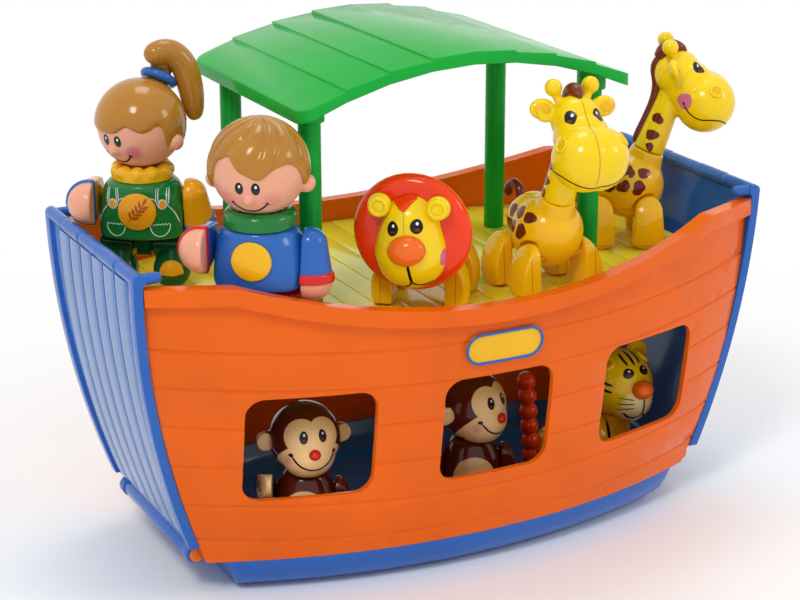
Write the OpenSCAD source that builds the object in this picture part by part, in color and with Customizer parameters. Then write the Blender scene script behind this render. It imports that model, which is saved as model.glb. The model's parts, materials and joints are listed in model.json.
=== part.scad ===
// Play ark: a slatted hull with two drop-down end ramps, a lift-out deck and roof,
// two jointed people, and lion, giraffe, monkey and tiger figures.
// Millimetres, +Z up. The bow points along -X and the near side lies at -Y.

/* [Hull] */
// Half length of the hull between the ramps, at the top
hull_half = 185; // [180:1:192]
// Radius of the bow and stern curve seen from the side
end_r = 450; // [420:5:500]
// Height at which the bow and stern curve stands upright
end_top = 190; // [188:1:194]
// Half beam of the hull at its widest
beam_half = 111; // [107:1:115]
// Radius of the side in plan
side_r = 399; // [385:1:420]
// Radius of the outward flare of the side
flare_r = 558; // [480:2:700]
// Height at which the flare stands upright
flare_top = 169; // [165:1:173]
// Wall of the sides
wall = 3.5; // [3:0.1:4.2]
// Lowest point of the rim, amidships
sheer_low = 160; // [157:1:163]
// Radius of the rim's upward sweep
sheer_r = 470; // [440:5:520]
// Flat top of the rim under the ramp hooks
rim_cap = 181.8; // [181:0.1:182]
// How far the rim stands out from the side
rim_out = 4.5; // [3:0.1:5.5]
// Height of the rim band
rim_h = 9; // [7:0.5:12]

/* [Base] */
// Height of the base below the sides
base_h = 21; // [19:0.5:22]
// Rounding of the base's lower edge
base_round = 14; // [10:0.5:16]
// Thickness of the hold floor
floor_t = 5; // [4:0.1:6]
// Distance from the end curve in to the base's end wall
base_inset = 10; // [9.5:0.1:12]

/* [Windows] */
// Width of a bow or stern window
end_window_w = 67.5; // [60:0.5:70]
// Distance of those windows' middle from amidships
end_window_x = 103.5; // [100:0.5:106]
// Width of the middle window
mid_window_w = 66; // [56:0.5:68]
// Bottom edge of the windows
window_low = 59.5; // [56:0.5:62]
// Height of the windows
window_h = 60; // [54:0.5:64]
// Corner radius of the windows
window_r = 10; // [6:0.5:14]

/* [Name plate] */
// Length of the bare name plate
plate_w = 46; // [38:0.5:50]
// Height of the bare name plate
plate_h = 17; // [12:0.5:19]
// Height of the plate's middle
plate_z = 136; // [133:0.5:138]
// Thickness of the plate
plate_t = 1.6; // [1:0.1:2.4]

/* [Ramps] */
// Thickness of the slatted ramp panel
ramp_t = 3; // [2.4:0.1:3.4]
// Thickness of the ramp's side flanges
flange_t = 5; // [4.2:0.1:5.5]
// Width of a side flange
flange_w = 7; // [5:0.5:9]
// Half width of the ramp at the top
ramp_top_half = 71; // [70:0.5:73]
// Half width of the ramp at the bottom
ramp_low_half = 61; // [60:0.5:63]
// Height of the hinge axis
hinge_z = 24; // [23:0.5:26]
// Radius of the hinge barrel
barrel_r = 5; // [4.5:0.1:5.2]
// Half length of the hinge barrel
barrel_half = 45.5; // [40:0.5:46]
// Width of a hinge ear on the base
ear_w = 7; // [5:0.5:8]
// Radius of a hinge pin
pin_r = 2.5; // [2:0.1:3]
// Radius of the ramp's top bar
bar_r = 3.4; // [3:0.1:3.6]
// How far the hooks reach in over the rim
hook_in = 10; // [7:0.5:11]
// Radius of a hook
hook_r = 3; // [2.5:0.1:3.2]
// Grooves between the ramp's slats
slat_grooves = 5; // [3:1:7]
// Width and depth of a slat groove
slat_groove = 1.2; // [0.8:0.1:1.6]

/* [Deck and roof] */
// Top of the deck
deck_top = 147; // [144:0.5:149]
// Thickness of the deck
deck_t = 4; // [3:0.1:5]
// Half length of the deck
deck_half = 172.5; // [170:0.5:172.5]
// Depth of the ledge that carries the deck
ledge_w = 5; // [4:0.5:6]
// Half spacing of the roof posts along the hull
post_x = 85; // [80:0.5:87]
// Half spacing of the roof posts across the hull
post_y = 53; // [48:0.5:56]
// Radius of a roof post
post_r = 6; // [5:0.1:7]
// Depth of a post socket below the deck's top
socket_d = 14; // [10:0.5:16]
// Wall of a post socket
socket_wall = 3; // [2:0.1:4]
// Height of the roof ridge
ridge_z = 286; // [280:0.5:292]
// Half depth of the roof, across the hull
roof_half_y = 75; // [70:0.5:76]
// Width of one roof plank
plank_w = 24.7; // [22:0.1:25]
// Drop from one roof plank to the next
plank_step = 1.2; // [0.8:0.1:1.6]
// Thickness of the roof
roof_t = 7; // [5:0.1:8]
// Corner radius of the roof in plan
roof_r = 9; // [5:0.5:12]

/* [People] */
// Height of the girl's torso above the deck
girl_torso_z = 32; // [30:0.5:34]
// Extra height of the girl's neck
girl_neck_rise = 1; // [0:0.5:2]
// Height of the boy's torso above the deck
boy_torso_z = 28.5; // [28:0.5:29]
// Radius of the girl's head
girl_head_r = 23.4; // [21.4:0.2:23.6]
// Radius of the boy's head
boy_head_r = 24.4; // [22:0.2:24.6]
// Thickness of the hair
hair_t = 1.4; // [1:0.1:1.5]
// Half width between the arms
torso_half = 22.6; // [21:0.1:23.4]
// Radius of the torso at its widest
torso_r = 24.8; // [24:0.1:26]
// Height of the torso
torso_h = 31; // [29:0.5:32]
// Distance of an arm's middle from its flat inner face
arm_off = 3; // [2:0.1:3.4]
// Radius of the shoulder
shoulder_r = 9; // [8:0.1:9.5]
// Radius of the arm at the hand
hand_r = 12; // [10.5:0.1:12.2]
// Distance from shoulder to hand
arm_len = 18.4; // [17:0.2:18.8]
// Radius of a trouser leg
leg_r = 10.6; // [9.5:0.1:11]
// Distance of a leg's middle from the body's middle
leg_x = 14.4; // [13:0.1:15]
// Radius of a joint pin
joint_r = 3; // [2.5:0.1:3.4]

/* [Animals] */
// Half width of an animal's belly, between its legs
belly_half = 14; // [13:0.1:15]
// Width of an animal's leg
paw_t = 12.5; // [10:0.5:13]
// Radius of a leg's rounded top
paw_top_r = 8; // [7:0.1:8.6]
// Half width of a foot
paw_foot = 9.2; // [8:0.1:9.6]
// Height of an animal's leg pivot
paw_pivot = 22; // [20:0.5:24]
// Radius of the lion's mane
mane_r = 31.5; // [29:0.5:33]
// Radius of a giraffe's body
giraffe_r = 20; // [18:0.2:21]
// Length of a giraffe's neck
neck_len = 40; // [36:0.5:42]
// Lean of a giraffe's neck
neck_lean = 20; // [16:1:22]
// Radius of a monkey's head
monkey_head_r = 19.5; // [18:0.1:20]
// Radius of the tiger's head
tiger_head_r = 20.5; // [19:0.1:21]

/* [Fits] */
// Running clearance round a pin
run = 0.06; // [0.03:0.01:0.09]
// Gap between faces that pass each other
face_gap = 0.4; // [0.3:0.05:0.6]
// Gap behind trim that is bonded on
skin_gap = 0.05; // [0.02:0.01:0.1]
// Gap under a figure that stands loose
seat_gap = 0.3; // [0.2:0.05:0.5]

/* [Hidden] */
$fn = 64;
far = 1000;

// Hull surfaces: each side is a flared wall swept about an upright axis on the other side.
axis_y = side_r - beam_half;
end_x = hull_half - end_r;
function flare(z) = side_r - (flare_top - z) * (flare_top - z) / (2 * flare_r);
function base_side(z) = flare(z) - (z < base_round
    ? base_round - sqrt(base_round * base_round - (base_round - z) * (base_round - z)) : 0);
function end_curve(r, z) = end_x + sqrt(r * r - (end_top - z) * (end_top - z));
cut_top = end_top + 20;
ledge_end = 26;
side_levels = [base_h, 46, 72, 98, 124, 147, flare_top, end_top + 8];
base_levels = [0, 0.11 * base_round, 0.33 * base_round, 0.62 * base_round, base_round, base_h];
hinge_x = end_curve(end_r + ramp_t / 2, hinge_z);
rest_z = deck_top + seat_gap;
hold_z = floor_t + seat_gap;
ledge_z = deck_top - deck_t;

// Where each figure stands, which way it looks and how its parts are turned at rest.
girl_at = [-145, 35, rest_z];
girl_turn = -31;
girl_head_turn = -32;
boy_at = [-119, -66, rest_z];
boy_turn = -38;
lion_at = [-13, -47, rest_z];
lion_turn = -39;
giraffe_one_at = [51, -61, rest_z];
giraffe_one_turn = 2;
giraffe_one_neck_turn = -4;
giraffe_two_at = [139, -4, rest_z];
giraffe_two_turn = 63;
monkey_one_at = [-90, -52, hold_z];
monkey_one_turn = -27;
monkey_one_head_turn = 18;
monkey_two_at = [13, -52, hold_z];
monkey_two_turn = -22;
monkey_two_head_turn = 45;
tiger_at = [97, -32, hold_z];
tiger_turn = 80;
tiger_head_turn = -74;

// Colours
orange = [0.95, 0.39, 0.05];
blue = [0.13, 0.32, 0.68];
yellow = [0.98, 0.76, 0.08];
green = [0.10, 0.55, 0.22];
dark_green = [0.04, 0.36, 0.14];
red = [0.83, 0.10, 0.10];
skin = [0.96, 0.72, 0.60];
hair_brown = [0.66, 0.46, 0.16];
brown = [0.30, 0.09, 0.05];
tan = [0.93, 0.74, 0.50];

// Shared shapes

// Prism along Y from an outline drawn in X and Z.
module across(width) {
    translate([0, width / 2, 0]) rotate([90, 0, 0]) linear_extrude(width) children();
}

// Prism along X from an outline drawn in Y and Z.
module along(from, to) {
    translate([from, 0, 0]) rotate([90, 0, 90]) linear_extrude(to - from) children();
}

// Straight bar along X, Y or the upright, about its middle.
module bar_x(r, from, to) {
    translate([from, 0, 0]) rotate([0, 90, 0]) cylinder(r = r, h = to - from);
}

module bar_y(r, from, to) {
    translate([0, from, 0]) rotate([-90, 0, 0]) cylinder(r = r, h = to - from);
}

module round_rect(w, h, r) {
    square([w - 2 * r, h], center = true);
    square([w, h - 2 * r], center = true);
    for (x = [-1, 1], y = [-1, 1])
        translate([x * (w / 2 - r), y * (h / 2 - r)]) circle(r);
}

module stadium(w, h) {
    square([w - h, h], center = true);
    for (x = [-1, 1]) translate([x * (w - h) / 2, 0]) circle(h / 2);
}

// Hull

// Solid of revolution inside one side's surface, moved by an offset.
module side_solid(levels, shift, way, base = false) {
    translate([0, -way * axis_y, 0]) rotate_extrude($fn = 180) polygon(concat(
        [[0, levels[0]]],
        [for (z = levels) [(base ? base_side(z) : flare(z)) + shift, z]],
        [[0, levels[len(levels) - 1]]]));
}

// Outline of the hull's ends seen from the side.
module end_outline(inset) {
    intersection_for (s = [-1, 1])
        translate([s * end_x, end_top]) circle(end_r - inset, $fn = 256);
}

module sheer(drop) {
    translate([0, sheer_low + sheer_r]) circle(sheer_r + drop, $fn = 256);
}

module side_outline(drop) {
    difference() {
        intersection() {
            end_outline(face_gap);
            translate([-far / 2, base_h]) square([far, rim_cap - drop - base_h]);
        }
        sheer(drop);
    }
}

module rim_outline() {
    difference() {
        side_outline(0);
        side_outline(rim_h);
    }
}

module windows() {
    middle = window_low + window_h / 2;
    translate([0, middle]) round_rect(mid_window_w, window_h, window_r);
    for (s = [-1, 1])
        translate([s * end_window_x, middle]) round_rect(end_window_w, window_h, window_r);
}

// Wall, rim and deck ledge of one side; way is -1 for the near side and 1 for the far side.
module side_shell(way) {
    difference() {
        intersection() {
            side_solid(side_levels, 0, way);
            across(far) difference() {
                side_outline(0);
                windows();
            }
        }
        side_solid(concat([0], side_levels, [cut_top]), -wall, way);
    }
    difference() {
        intersection() {
            side_solid(side_levels, rim_out, way);
            across(far) rim_outline();
        }
        side_solid(concat([0], side_levels, [cut_top]), -wall / 2, way);
    }
    difference() {
        intersection() {
            side_solid(side_levels, -wall / 2, way);
            translate([-deck_half + ledge_end, -far / 2, ledge_z - deck_t])
                cube([2 * (deck_half - ledge_end), far, deck_t]);
        }
        side_solid(concat([0], side_levels, [cut_top]), -wall - ledge_w, way);
    }
}

module hull_side(way) {
    color(orange) difference() {
        intersection() {
            translate([-far / 2, way > 0 ? 0 : -far / 2, 0]) cube([far, far / 2, far]);
            side_shell(way);
        }
        hinge_room();
    }
}

module near_side() { hull_side(-1); }

module far_side() { hull_side(1); }

// Ramp hinges: ears on the base carry pins whose heads lie outside the ears.
ear_r = barrel_r + 0.5;
ear_foot = 24;
ear_out = barrel_half + face_gap + ear_w;
pin_head_r = pin_r + 1.5;
pin_head_t = 2;
pin_reach = 9;

// Foot of an ear, drawn from the hinge back to the base, grown by a gap.
module ear_block(end, half, gap) {
    low = hinge_z - ear_r - gap;
    translate([end > 0 ? hinge_x - ear_foot - gap : -hinge_x, -half, low])
        cube([ear_foot + gap, 2 * half, 2 * (ear_r + gap)]);
}

// Room that the sides leave round the ears and the pin heads.
module hinge_room() {
    reach = ear_out + pin_head_t + face_gap;
    for (end = [-1, 1]) {
        translate([end * hinge_x, 0, hinge_z]) bar_y(ear_r + face_gap, -reach, reach);
        ear_block(end, ear_out + face_gap, face_gap);
    }
}

// Hinge ear that carries a ramp's pin, on the bow (-1) or stern (1).
module hinge_ear(end, way) {
    translate([0, way * (ear_out - ear_w / 2), 0]) difference() {
        union() {
            translate([end * hinge_x, 0, hinge_z]) bar_y(ear_r, -ear_w / 2, ear_w / 2);
            ear_block(end, ear_w / 2, 0);
        }
        translate([end * hinge_x, 0, hinge_z]) bar_y(pin_r, -ear_w, ear_w);
    }
}

module base_tub() {
    color(blue) {
        difference() {
            intersection() {
                side_solid(base_levels, 0, -1, true);
                side_solid(base_levels, 0, 1, true);
                across(far) end_outline(base_inset);
            }
            intersection() {
                side_solid([floor_t, base_round, base_h + 1], -wall, -1, true);
                side_solid([floor_t, base_round, base_h + 1], -wall, 1, true);
                across(far) end_outline(base_inset + wall);
                translate([-far / 2, -far / 2, floor_t]) cube([far, far, base_h]);
            }
        }
        for (end = [-1, 1], way = [-1, 1]) hinge_ear(end, way);
    }
}

module name_plate() {
    color(yellow) intersection() {
        translate([-far / 2, -far, 0]) cube([far, far, far]);
        difference() {
            intersection() {
                side_solid(side_levels, plate_t, -1);
                translate([0, 0, plate_z]) across(far) stadium(plate_w, plate_h);
            }
            side_solid(concat([0], side_levels, [cut_top]), skin_gap, -1);
        }
    }
}

// Each pin is pressed into its ear and runs in the ramp's barrel.
module ramp_hinge_pins() {
    color(orange) for (end = [-1, 1], way = [0, 1])
        mirror([0, way, 0]) translate([end * hinge_x, 0, hinge_z]) {
            bar_y(pin_r, barrel_half - pin_reach, ear_out);
            bar_y(pin_head_r, ear_out, ear_out + pin_head_t);
        }
}

// Ramps

// Ring of the end curve between two distances outside the hull's end.
module end_band(end, from, to) {
    translate([end * end_x, end_top]) difference() {
        circle(end_r + to, $fn = 256);
        circle(end_r + from, $fn = 256);
    }
}

module ramp_edge(inset) {
    polygon([
        [-ramp_low_half + inset, base_h], [ramp_low_half - inset, base_h],
        [ramp_top_half - inset, end_top], [-ramp_top_half + inset, end_top]
    ]);
}

// A ramp's sheet, from a height up to the bar, between two depths.
module ramp_sheet(end, from, to, low) {
    bar_z = end_top - bar_r;
    intersection() {
        across(2 * ramp_top_half) intersection() {
            end_band(end, from, to);
            translate([end > 0 ? 0 : -far, low]) square([far, bar_z - low]);
        }
        along(-far / 2, far / 2) children();
    }
}

module ramp(end) {
    bar_z = end_top - bar_r;
    bar_x0 = end * end_curve(end_r + ramp_t / 2, bar_z);
    low = hinge_z + barrel_r + 2;
    pitch = 2 * (ramp_low_half - flange_w) / (slat_grooves + 1);
    color(blue) difference() {
        union() {
            ramp_sheet(end, 0, ramp_t, low) ramp_edge(0);
            ramp_sheet(end, 0, flange_t, low) difference() {
                ramp_edge(0);
                ramp_edge(flange_w);
            }
            ramp_sheet(end, 0, ramp_t, hinge_z)
                translate([-barrel_half, 0]) square([2 * barrel_half, low + 4]);
            translate([end * hinge_x, 0, hinge_z]) bar_y(barrel_r, -barrel_half, barrel_half);
            translate([bar_x0, 0, bar_z]) bar_y(bar_r, -ramp_top_half, ramp_top_half);
            for (way = [-1, 1])
                translate([bar_x0, way * (ramp_top_half - hook_r - 1), bar_z]) {
                    bar_x(hook_r, end > 0 ? -hook_in : 0, end > 0 ? 0 : hook_in);
                    translate([-end * hook_in, 0, 0]) sphere(hook_r);
                }
        }
        translate([end * hinge_x, 0, hinge_z])
            bar_y(pin_r + run, -barrel_half - 1, barrel_half + 1);
        ramp_sheet(end, ramp_t - slat_groove, ramp_t + 1, low + 4)
            for (i = [1:slat_grooves])
                translate([-ramp_low_half + flange_w + i * pitch - slat_groove / 2, 0])
                    square([slat_groove, end_top]);
    }
}

module bow_ramp() { ramp(-1); }

module stern_ramp() { mirror([1, 0, 0]) ramp(-1); }

// Deck and roof

module at_posts() {
    for (x = [-1, 1], y = [-1, 1]) translate([x * post_x, y * post_y, 0]) children();
}

module deck() {
    edge = flare(ledge_z) - wall - 0.5;
    boss_low = deck_top - socket_d - socket_wall;
    color(yellow) difference() {
        union() {
            translate([0, 0, ledge_z]) linear_extrude(deck_t) intersection() {
                translate([0, axis_y]) circle(edge, $fn = 256);
                translate([0, -axis_y]) circle(edge, $fn = 256);
                square([2 * deck_half, far], center = true);
            }
            at_posts() translate([0, 0, boss_low])
                cylinder(r = post_r + socket_wall, h = ledge_z - boss_low + 1);
        }
        at_posts() translate([0, 0, deck_top - socket_d])
            cylinder(r = post_r + run, h = socket_d + 1);
    }
}

// Heights of the roof's plank joints, falling faster towards the eaves.
planks = 4;
function roof_z(i) = ridge_z - 1.4 * i * i;
function pad_z() = roof_z(planks) - roof_t - 3;

module roof_outline() {
    top = [for (i = [0:planks - 1], k = [0, 1])
        [(i + k) * plank_w, k == 0 && i > 0 ? roof_z(i) - plank_step : roof_z(i + k)]];
    under = [for (i = [planks:-1:0]) [i * plank_w, roof_z(i) - roof_t]];
    polygon(concat(top, under));
}

// Everything below the middle of the roof's thickness.
module under_roof() {
    polygon(concat(
        [for (i = [0:planks]) [i * plank_w, roof_z(i) - roof_t / 2]],
        [[planks * plank_w, 0], [0, 0]]));
}

module roof_panel() {
    color(green) {
        intersection() {
            across(2 * roof_half_y) {
                roof_outline();
                mirror([1, 0]) roof_outline();
            }
            linear_extrude(far)
                round_rect(2 * planks * plank_w, 2 * roof_half_y, roof_r);
        }
        intersection() {
            at_posts() translate([0, 0, pad_z()])
                cylinder(r = post_r + 2, h = ridge_z - pad_z());
            across(far) {
                under_roof();
                mirror([1, 0]) under_roof();
            }
        }
    }
}

module roof_posts() {
    color(green) at_posts() translate([0, 0, deck_top - socket_d])
        cylinder(r = post_r, h = pad_z() - deck_top + socket_d);
}

// People. Each is drawn about its own upright axis, looking along -Y.

hair_gap = 0.1;
hip_drop = 7;
shoulder_rise = 21.5;
torso_front = 19;
torso_bulge = 42;
collar_tube = 4.4;
collar_ring = 14.6;
collar_rise = torso_h + collar_tube;
pin_in = 9;
nose_drop = 27;
nose_r = 2.8;

module torso_profile() {
    polygon([
        [0, 0], [torso_r - 1.6, 0], [torso_r - 0.4, 1.5], [torso_r, 6], [torso_r - 1, 16],
        [torso_r - 2.6, torso_h - 7], [torso_r - 4.8, torso_h - 2.5], [torso_r - 7.5, torso_h],
        [0, torso_h]
    ]);
}

// Torso with its hip block and the bores for the neck, shoulders and hips.
module person_torso(low, tint) {
    color(tint) translate([0, 0, low]) difference() {
        union() {
            intersection() {
                rotate_extrude() torso_profile();
                intersection_for (s = [-1, 1])
                    translate([0, s * (torso_bulge - torso_front), 0])
                        cylinder(r = torso_bulge, h = torso_h, $fn = 128);
                translate([-torso_half, -far / 2, 0]) cube([2 * torso_half, far, torso_h]);
            }
            translate([-4.2, -5, -hip_drop - 5.5]) cube([8.4, 10, hip_drop + 8]);
        }
        translate([0, 0, torso_h - pin_in - 2]) cylinder(r = 6 + run, h = pin_in + 3);
        translate([0, 0, shoulder_rise]) for (s = [-1, 1])
            bar_x(joint_r + run, s > 0 ? torso_half - pin_in : -torso_half - 1,
                s > 0 ? torso_half + 1 : -torso_half + pin_in);
        translate([0, 0, -hip_drop]) bar_x(joint_r + run, -6, 6);
    }
}

module person_collar(low, tint) {
    color(tint) translate([0, 0, low + torso_h]) rotate_extrude() {
        translate([collar_ring, collar_tube]) circle(collar_tube);
        translate([collar_ring - collar_tube, 0]) square([2 * collar_tube, collar_tube]);
    }
}

// Ruffled collar: a ring of round lobes about a plain core.
module ruffled_collar(low, tint) {
    lobes = 11;
    ring = collar_ring - 1.4;
    color(tint) translate([0, 0, low + torso_h]) intersection() {
        union() {
            rotate_extrude() translate([ring - collar_tube + 0.6, 0])
                square([2 * collar_tube - 1.4, 2 * collar_tube - 2]);
            for (i = [0:lobes - 1]) rotate(i * 360 / lobes)
                translate([0, -ring, collar_tube]) sphere(collar_tube);
        }
        difference() {
            cylinder(r = ring + collar_tube, h = 2 * collar_tube);
            translate([0, 0, -1]) cylinder(r = ring - collar_tube + 0.6, h = far);
        }
    }
}

// Round domed badge set in the front of the torso.
module badge(low, tint) {
    dome = 30;
    badge_r = 10.4;
    height = 16.5;
    stand = 2.6;
    depth = 3;
    color(tint) difference() {
        translate([0, depth - torso_front, low + height]) rotate([90, 0, 0]) intersection() {
            cylinder(r = badge_r, h = depth + stand);
            translate([0, 0, depth + stand - dome]) sphere(dome, $fn = 128);
        }
        translate([0, torso_bulge - torso_front, low])
            cylinder(r = torso_bulge + skin_gap, h = torso_h, $fn = 128);
    }
}

// Arm beside the torso: a round limb cut flat on its inner face.
// s is 1 for the left arm and -1 for the right; swing turns it forward.
module person_arm(low, s, swing, tint) {
    inner = torso_half + face_gap;
    color(tint) translate([0, 0, low + shoulder_rise]) rotate([-swing, 0, 0])
        mirror([s > 0 ? 0 : 1, 0, 0]) {
            intersection() {
                translate([inner + arm_off, 0, 0]) {
                    sphere(shoulder_r);
                    translate([0, 0, -arm_len]) sphere(hand_r);
                    translate([0, 0, -arm_len]) cylinder(r1 = hand_r, r2 = shoulder_r, h = arm_len);
                }
                translate([inner, -far / 2, -far / 2]) cube([far, far, far]);
            }
            bar_x(joint_r, torso_half - pin_in + 1, inner + 1);
        }
}

// Both legs on one hip axle.
module person_legs(low, tint) {
    hip = low - hip_drop;
    inner = 4.2 + face_gap;
    color(tint) {
        for (s = [-1, 1]) intersection() {
            translate([s * leg_x, 0, 0]) {
                translate([0, 0, leg_r]) sphere(leg_r);
                translate([0, 0, leg_r]) cylinder(r1 = leg_r, r2 = 6.6, h = hip - leg_r);
                translate([0, 0, hip]) bar_x(6.6, -leg_r + 1, torso_half - leg_x);
            }
            translate([s > 0 ? inner : -far - inner, -far / 2, 0]) cube([far, far, far]);
        }
        translate([0, 0, hip]) bar_x(joint_r, -inner - 2, inner + 2);
    }
}

function head_centre(low, r, rise) = low + collar_rise + rise
    + sqrt((r + collar_tube + 0.35) * (r + collar_tube + 0.35) - collar_ring * collar_ring);

// Head with its neck pin, nose and ears, about its own middle.
module person_head(low, r, rise, turn, tint) {
    centre = head_centre(low, r, rise);
    color(tint) translate([0, 0, centre]) rotate(turn) {
        sphere(r, $fn = 96);
        translate([0, 0, low + torso_h - pin_in - centre])
            cylinder(r = 6, h = centre - low - torso_h + pin_in);
        rotate([nose_drop, 0, 0]) translate([0, -r, 0]) sphere(nose_r);
        for (s = [-1, 1]) translate([s * (r - 0.6), 2, -0.3 * r]) sphere(0.2 * r);
    }
}

// Cap of hair over a head: a shell cut away round the face and the ears.
module hair_cap(r, fringe, nape) {
    inner = r + hair_gap;
    difference() {
        sphere(inner + hair_t, $fn = 96);
        sphere(inner, $fn = 96);
        translate([-far / 2, -far, -far + fringe]) cube([far, far + 1, far]);
        translate([-far / 2, -1, -far - 0.06 * r]) cube([far, 9, far]);
        translate([-far / 2, -far / 2, -far - nape]) cube([far, far, far]);
    }
}

module place_girl() {
    translate(girl_at) rotate(girl_turn) children();
}

module place_boy() {
    translate(boy_at) rotate(boy_turn) children();
}

module girl_torso() { place_girl() person_torso(girl_torso_z, dark_green); }

module girl_collar() { place_girl() ruffled_collar(girl_torso_z, yellow); }

module girl_badge() { place_girl() badge(girl_torso_z, orange); }

module girl_head() {
    place_girl() person_head(girl_torso_z, girl_head_r, girl_neck_rise, girl_head_turn, skin);
}

module at_girl_head() {
    place_girl() translate([0, 0, head_centre(girl_torso_z, girl_head_r, girl_neck_rise)])
        rotate(girl_head_turn) children();
}

// Ponytail: a stalk through the band, then stations along a curve that falls behind.
tail_stalk = 5.2;
tail_reach = 8;
band_tube = 2.6;
band_lean = 35;
band_rise = 4;
tail_stations = [
    [0, 20, 28.8, 5], [1, 12.5, 36.5, 6.2], [6, 20, 35.8, 7], [12, 29, 28, 6.5], [16, 31, 16, 6],
    [18, 32, 3, 4]
];

// Frame of the band: up along the stalk, from the head's middle.
module at_band() {
    at_girl_head() rotate([-band_lean, 0, 0]) children();
}

module girl_hair() {
    root = girl_head_r + hair_gap + 0.3;
    color(hair_brown) {
        at_girl_head() hair_cap(girl_head_r, 0.1 * girl_head_r, 0.5 * girl_head_r);
        at_band() translate([0, 0, root])
            cylinder(r = tail_stalk, h = girl_head_r + band_rise + tail_reach - root);
        at_girl_head() for (i = [0:len(tail_stations) - 2]) hull() for (k = [i, i + 1])
            translate([tail_stations[k][0], tail_stations[k][1], tail_stations[k][2]])
                sphere(tail_stations[k][3], $fn = 28);
    }
}

module girl_hair_band() {
    color(blue) difference() {
        at_band() translate([0, 0, girl_head_r + band_rise]) rotate_extrude()
            translate([tail_stalk + band_tube + skin_gap, 0]) circle(band_tube);
        at_girl_head() sphere(girl_head_r + hair_gap + hair_t + skin_gap, $fn = 96);
    }
}

module girl_arm_left() { place_girl() person_arm(girl_torso_z, 1, -20, yellow); }

module girl_arm_right() { place_girl() person_arm(girl_torso_z, -1, 88, yellow); }

module girl_legs() { place_girl() person_legs(girl_torso_z, dark_green); }

module boy_torso() { place_boy() person_torso(boy_torso_z, blue); }

module boy_collar() { place_boy() person_collar(boy_torso_z, green); }

module boy_badge() { place_boy() badge(boy_torso_z, yellow); }

module boy_head() { place_boy() person_head(boy_torso_z, boy_head_r, 0, 0, skin); }

module boy_hair() {
    color(hair_brown) place_boy() translate([0, 0, head_centre(boy_torso_z, boy_head_r, 0)])
        hair_cap(boy_head_r, 0.14 * boy_head_r, 0.5 * boy_head_r);
}

module boy_arm_left() { place_boy() person_arm(boy_torso_z, 1, 4, blue); }

module boy_arm_right() { place_boy() person_arm(boy_torso_z, -1, 88, blue); }

module boy_legs() { place_boy() person_legs(boy_torso_z, red); }

// Four-legged animals. Each is drawn about its own upright axis, looking along -Y.

// Pair of legs on one axle, at a distance forward of the animal's middle.
module paw_outline() {
    reach = paw_pivot;
    intersection() {
        union() {
            circle(paw_top_r);
            polygon([
                [-paw_top_r, 0], [paw_top_r, 0], [paw_foot, -0.75 * reach], [paw_foot, -reach],
                [-paw_foot, -reach], [-paw_foot, -0.75 * reach]
            ]);
        }
        circle(reach, $fn = 128);
    }
}

module leg_pair(forward) {
    inner = belly_half + face_gap;
    dome = 26;
    color(yellow) translate([0, -forward, paw_pivot]) {
        for (s = [0, 1]) mirror([s, 0, 0]) intersection() {
            along(inner, inner + paw_t) paw_outline();
            translate([inner + paw_t - dome, 0, -0.55 * paw_pivot]) sphere(dome, $fn = 128);
        }
        bar_x(joint_r, -inner - 1, inner + 1);
    }
}

// Room for the legs' swing beside the belly, and the bores of the two axles.
swing_room = 1.6;

module leg_room(fore, hind) {
    for (s = [0, 1]) mirror([s, 0, 0]) translate([belly_half, 0, 0]) {
        translate([0, -far / 2, -1]) cube([far, far, paw_pivot + 1]);
        for (f = [fore, hind]) translate([0, -f, paw_pivot])
            bar_x(paw_top_r + swing_room, 0, far);
    }
    for (f = [fore, hind]) translate([0, -f, paw_pivot])
        bar_x(joint_r + run, -belly_half - 1, belly_half + 1);
}

module ball(forward, z, r) {
    translate([0, -forward, z]) rotate([90, 0, 0]) sphere(r, $fn = 96);
}

// Chest and haunch of the lion and the tiger.
chest_f = 6;
chest_z = 29;
chest_r = 18;
haunch_f = 11;
haunch_z = 26;
haunch_r = 16.5;

// Lion

lion_fore_axle = 17;
lion_hind_axle = 13;
lion_head_z = 47;
lion_head_f = 33;
mane_t = 11;
jaw_drop = 10;
jaw_r = 19.5;
brow_rise = 6;
brow_r = 15.5;

module place_lion() {
    translate(lion_at) rotate(lion_turn) children();
}

module lion_body() {
    stump = lion_head_f - face_gap;
    color(yellow) place_lion() difference() {
        union() {
            ball(chest_f, chest_z, chest_r);
            ball(-haunch_f, haunch_z, haunch_r);
            translate([0, 0, lion_head_z]) bar_y(8.5, -stump, -4);
        }
        leg_room(lion_fore_axle, -lion_hind_axle);
        translate([0, -stump - 1, lion_head_z]) bar_y(5 + run, 0, pin_in + 3);
    }
}

// Mane: a thick round-edged disc, drawn out a little towards the chin.
module lion_mane() {
    edge = mane_t / 2;
    color(orange) place_lion() translate([0, -lion_head_f, lion_head_z]) {
        rotate([90, 0, 0]) rotate_extrude() {
            square([mane_r - edge, mane_t], center = false);
            translate([mane_r - edge, edge]) circle(edge);
        }
        bar_y(5, -1, face_gap + pin_in);
    }
}

module lion_face() {
    color(yellow) place_lion() translate([0, -lion_head_f - mane_t, lion_head_z])
        intersection() {
            union() {
                translate([0, 3, -jaw_drop]) sphere(jaw_r, $fn = 96);
                translate([0, 3, brow_rise]) sphere(brow_r, $fn = 96);
                translate([0, -13.5, -7]) rotate([0, 90, 0]) sphere(8);
                for (s = [-1, 1]) translate([s * 15.5, -4.5, 16.5]) rotate([90, 0, 0])
                    cylinder(r = 6.4, h = 9, center = true);
            }
            translate([-far / 2, -far, -far / 2]) cube([far, far, far]);
        }
}

module lion_fore_legs() { place_lion() leg_pair(lion_fore_axle); }

module lion_hind_legs() { place_lion() leg_pair(-lion_hind_axle); }

// Giraffes

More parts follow.
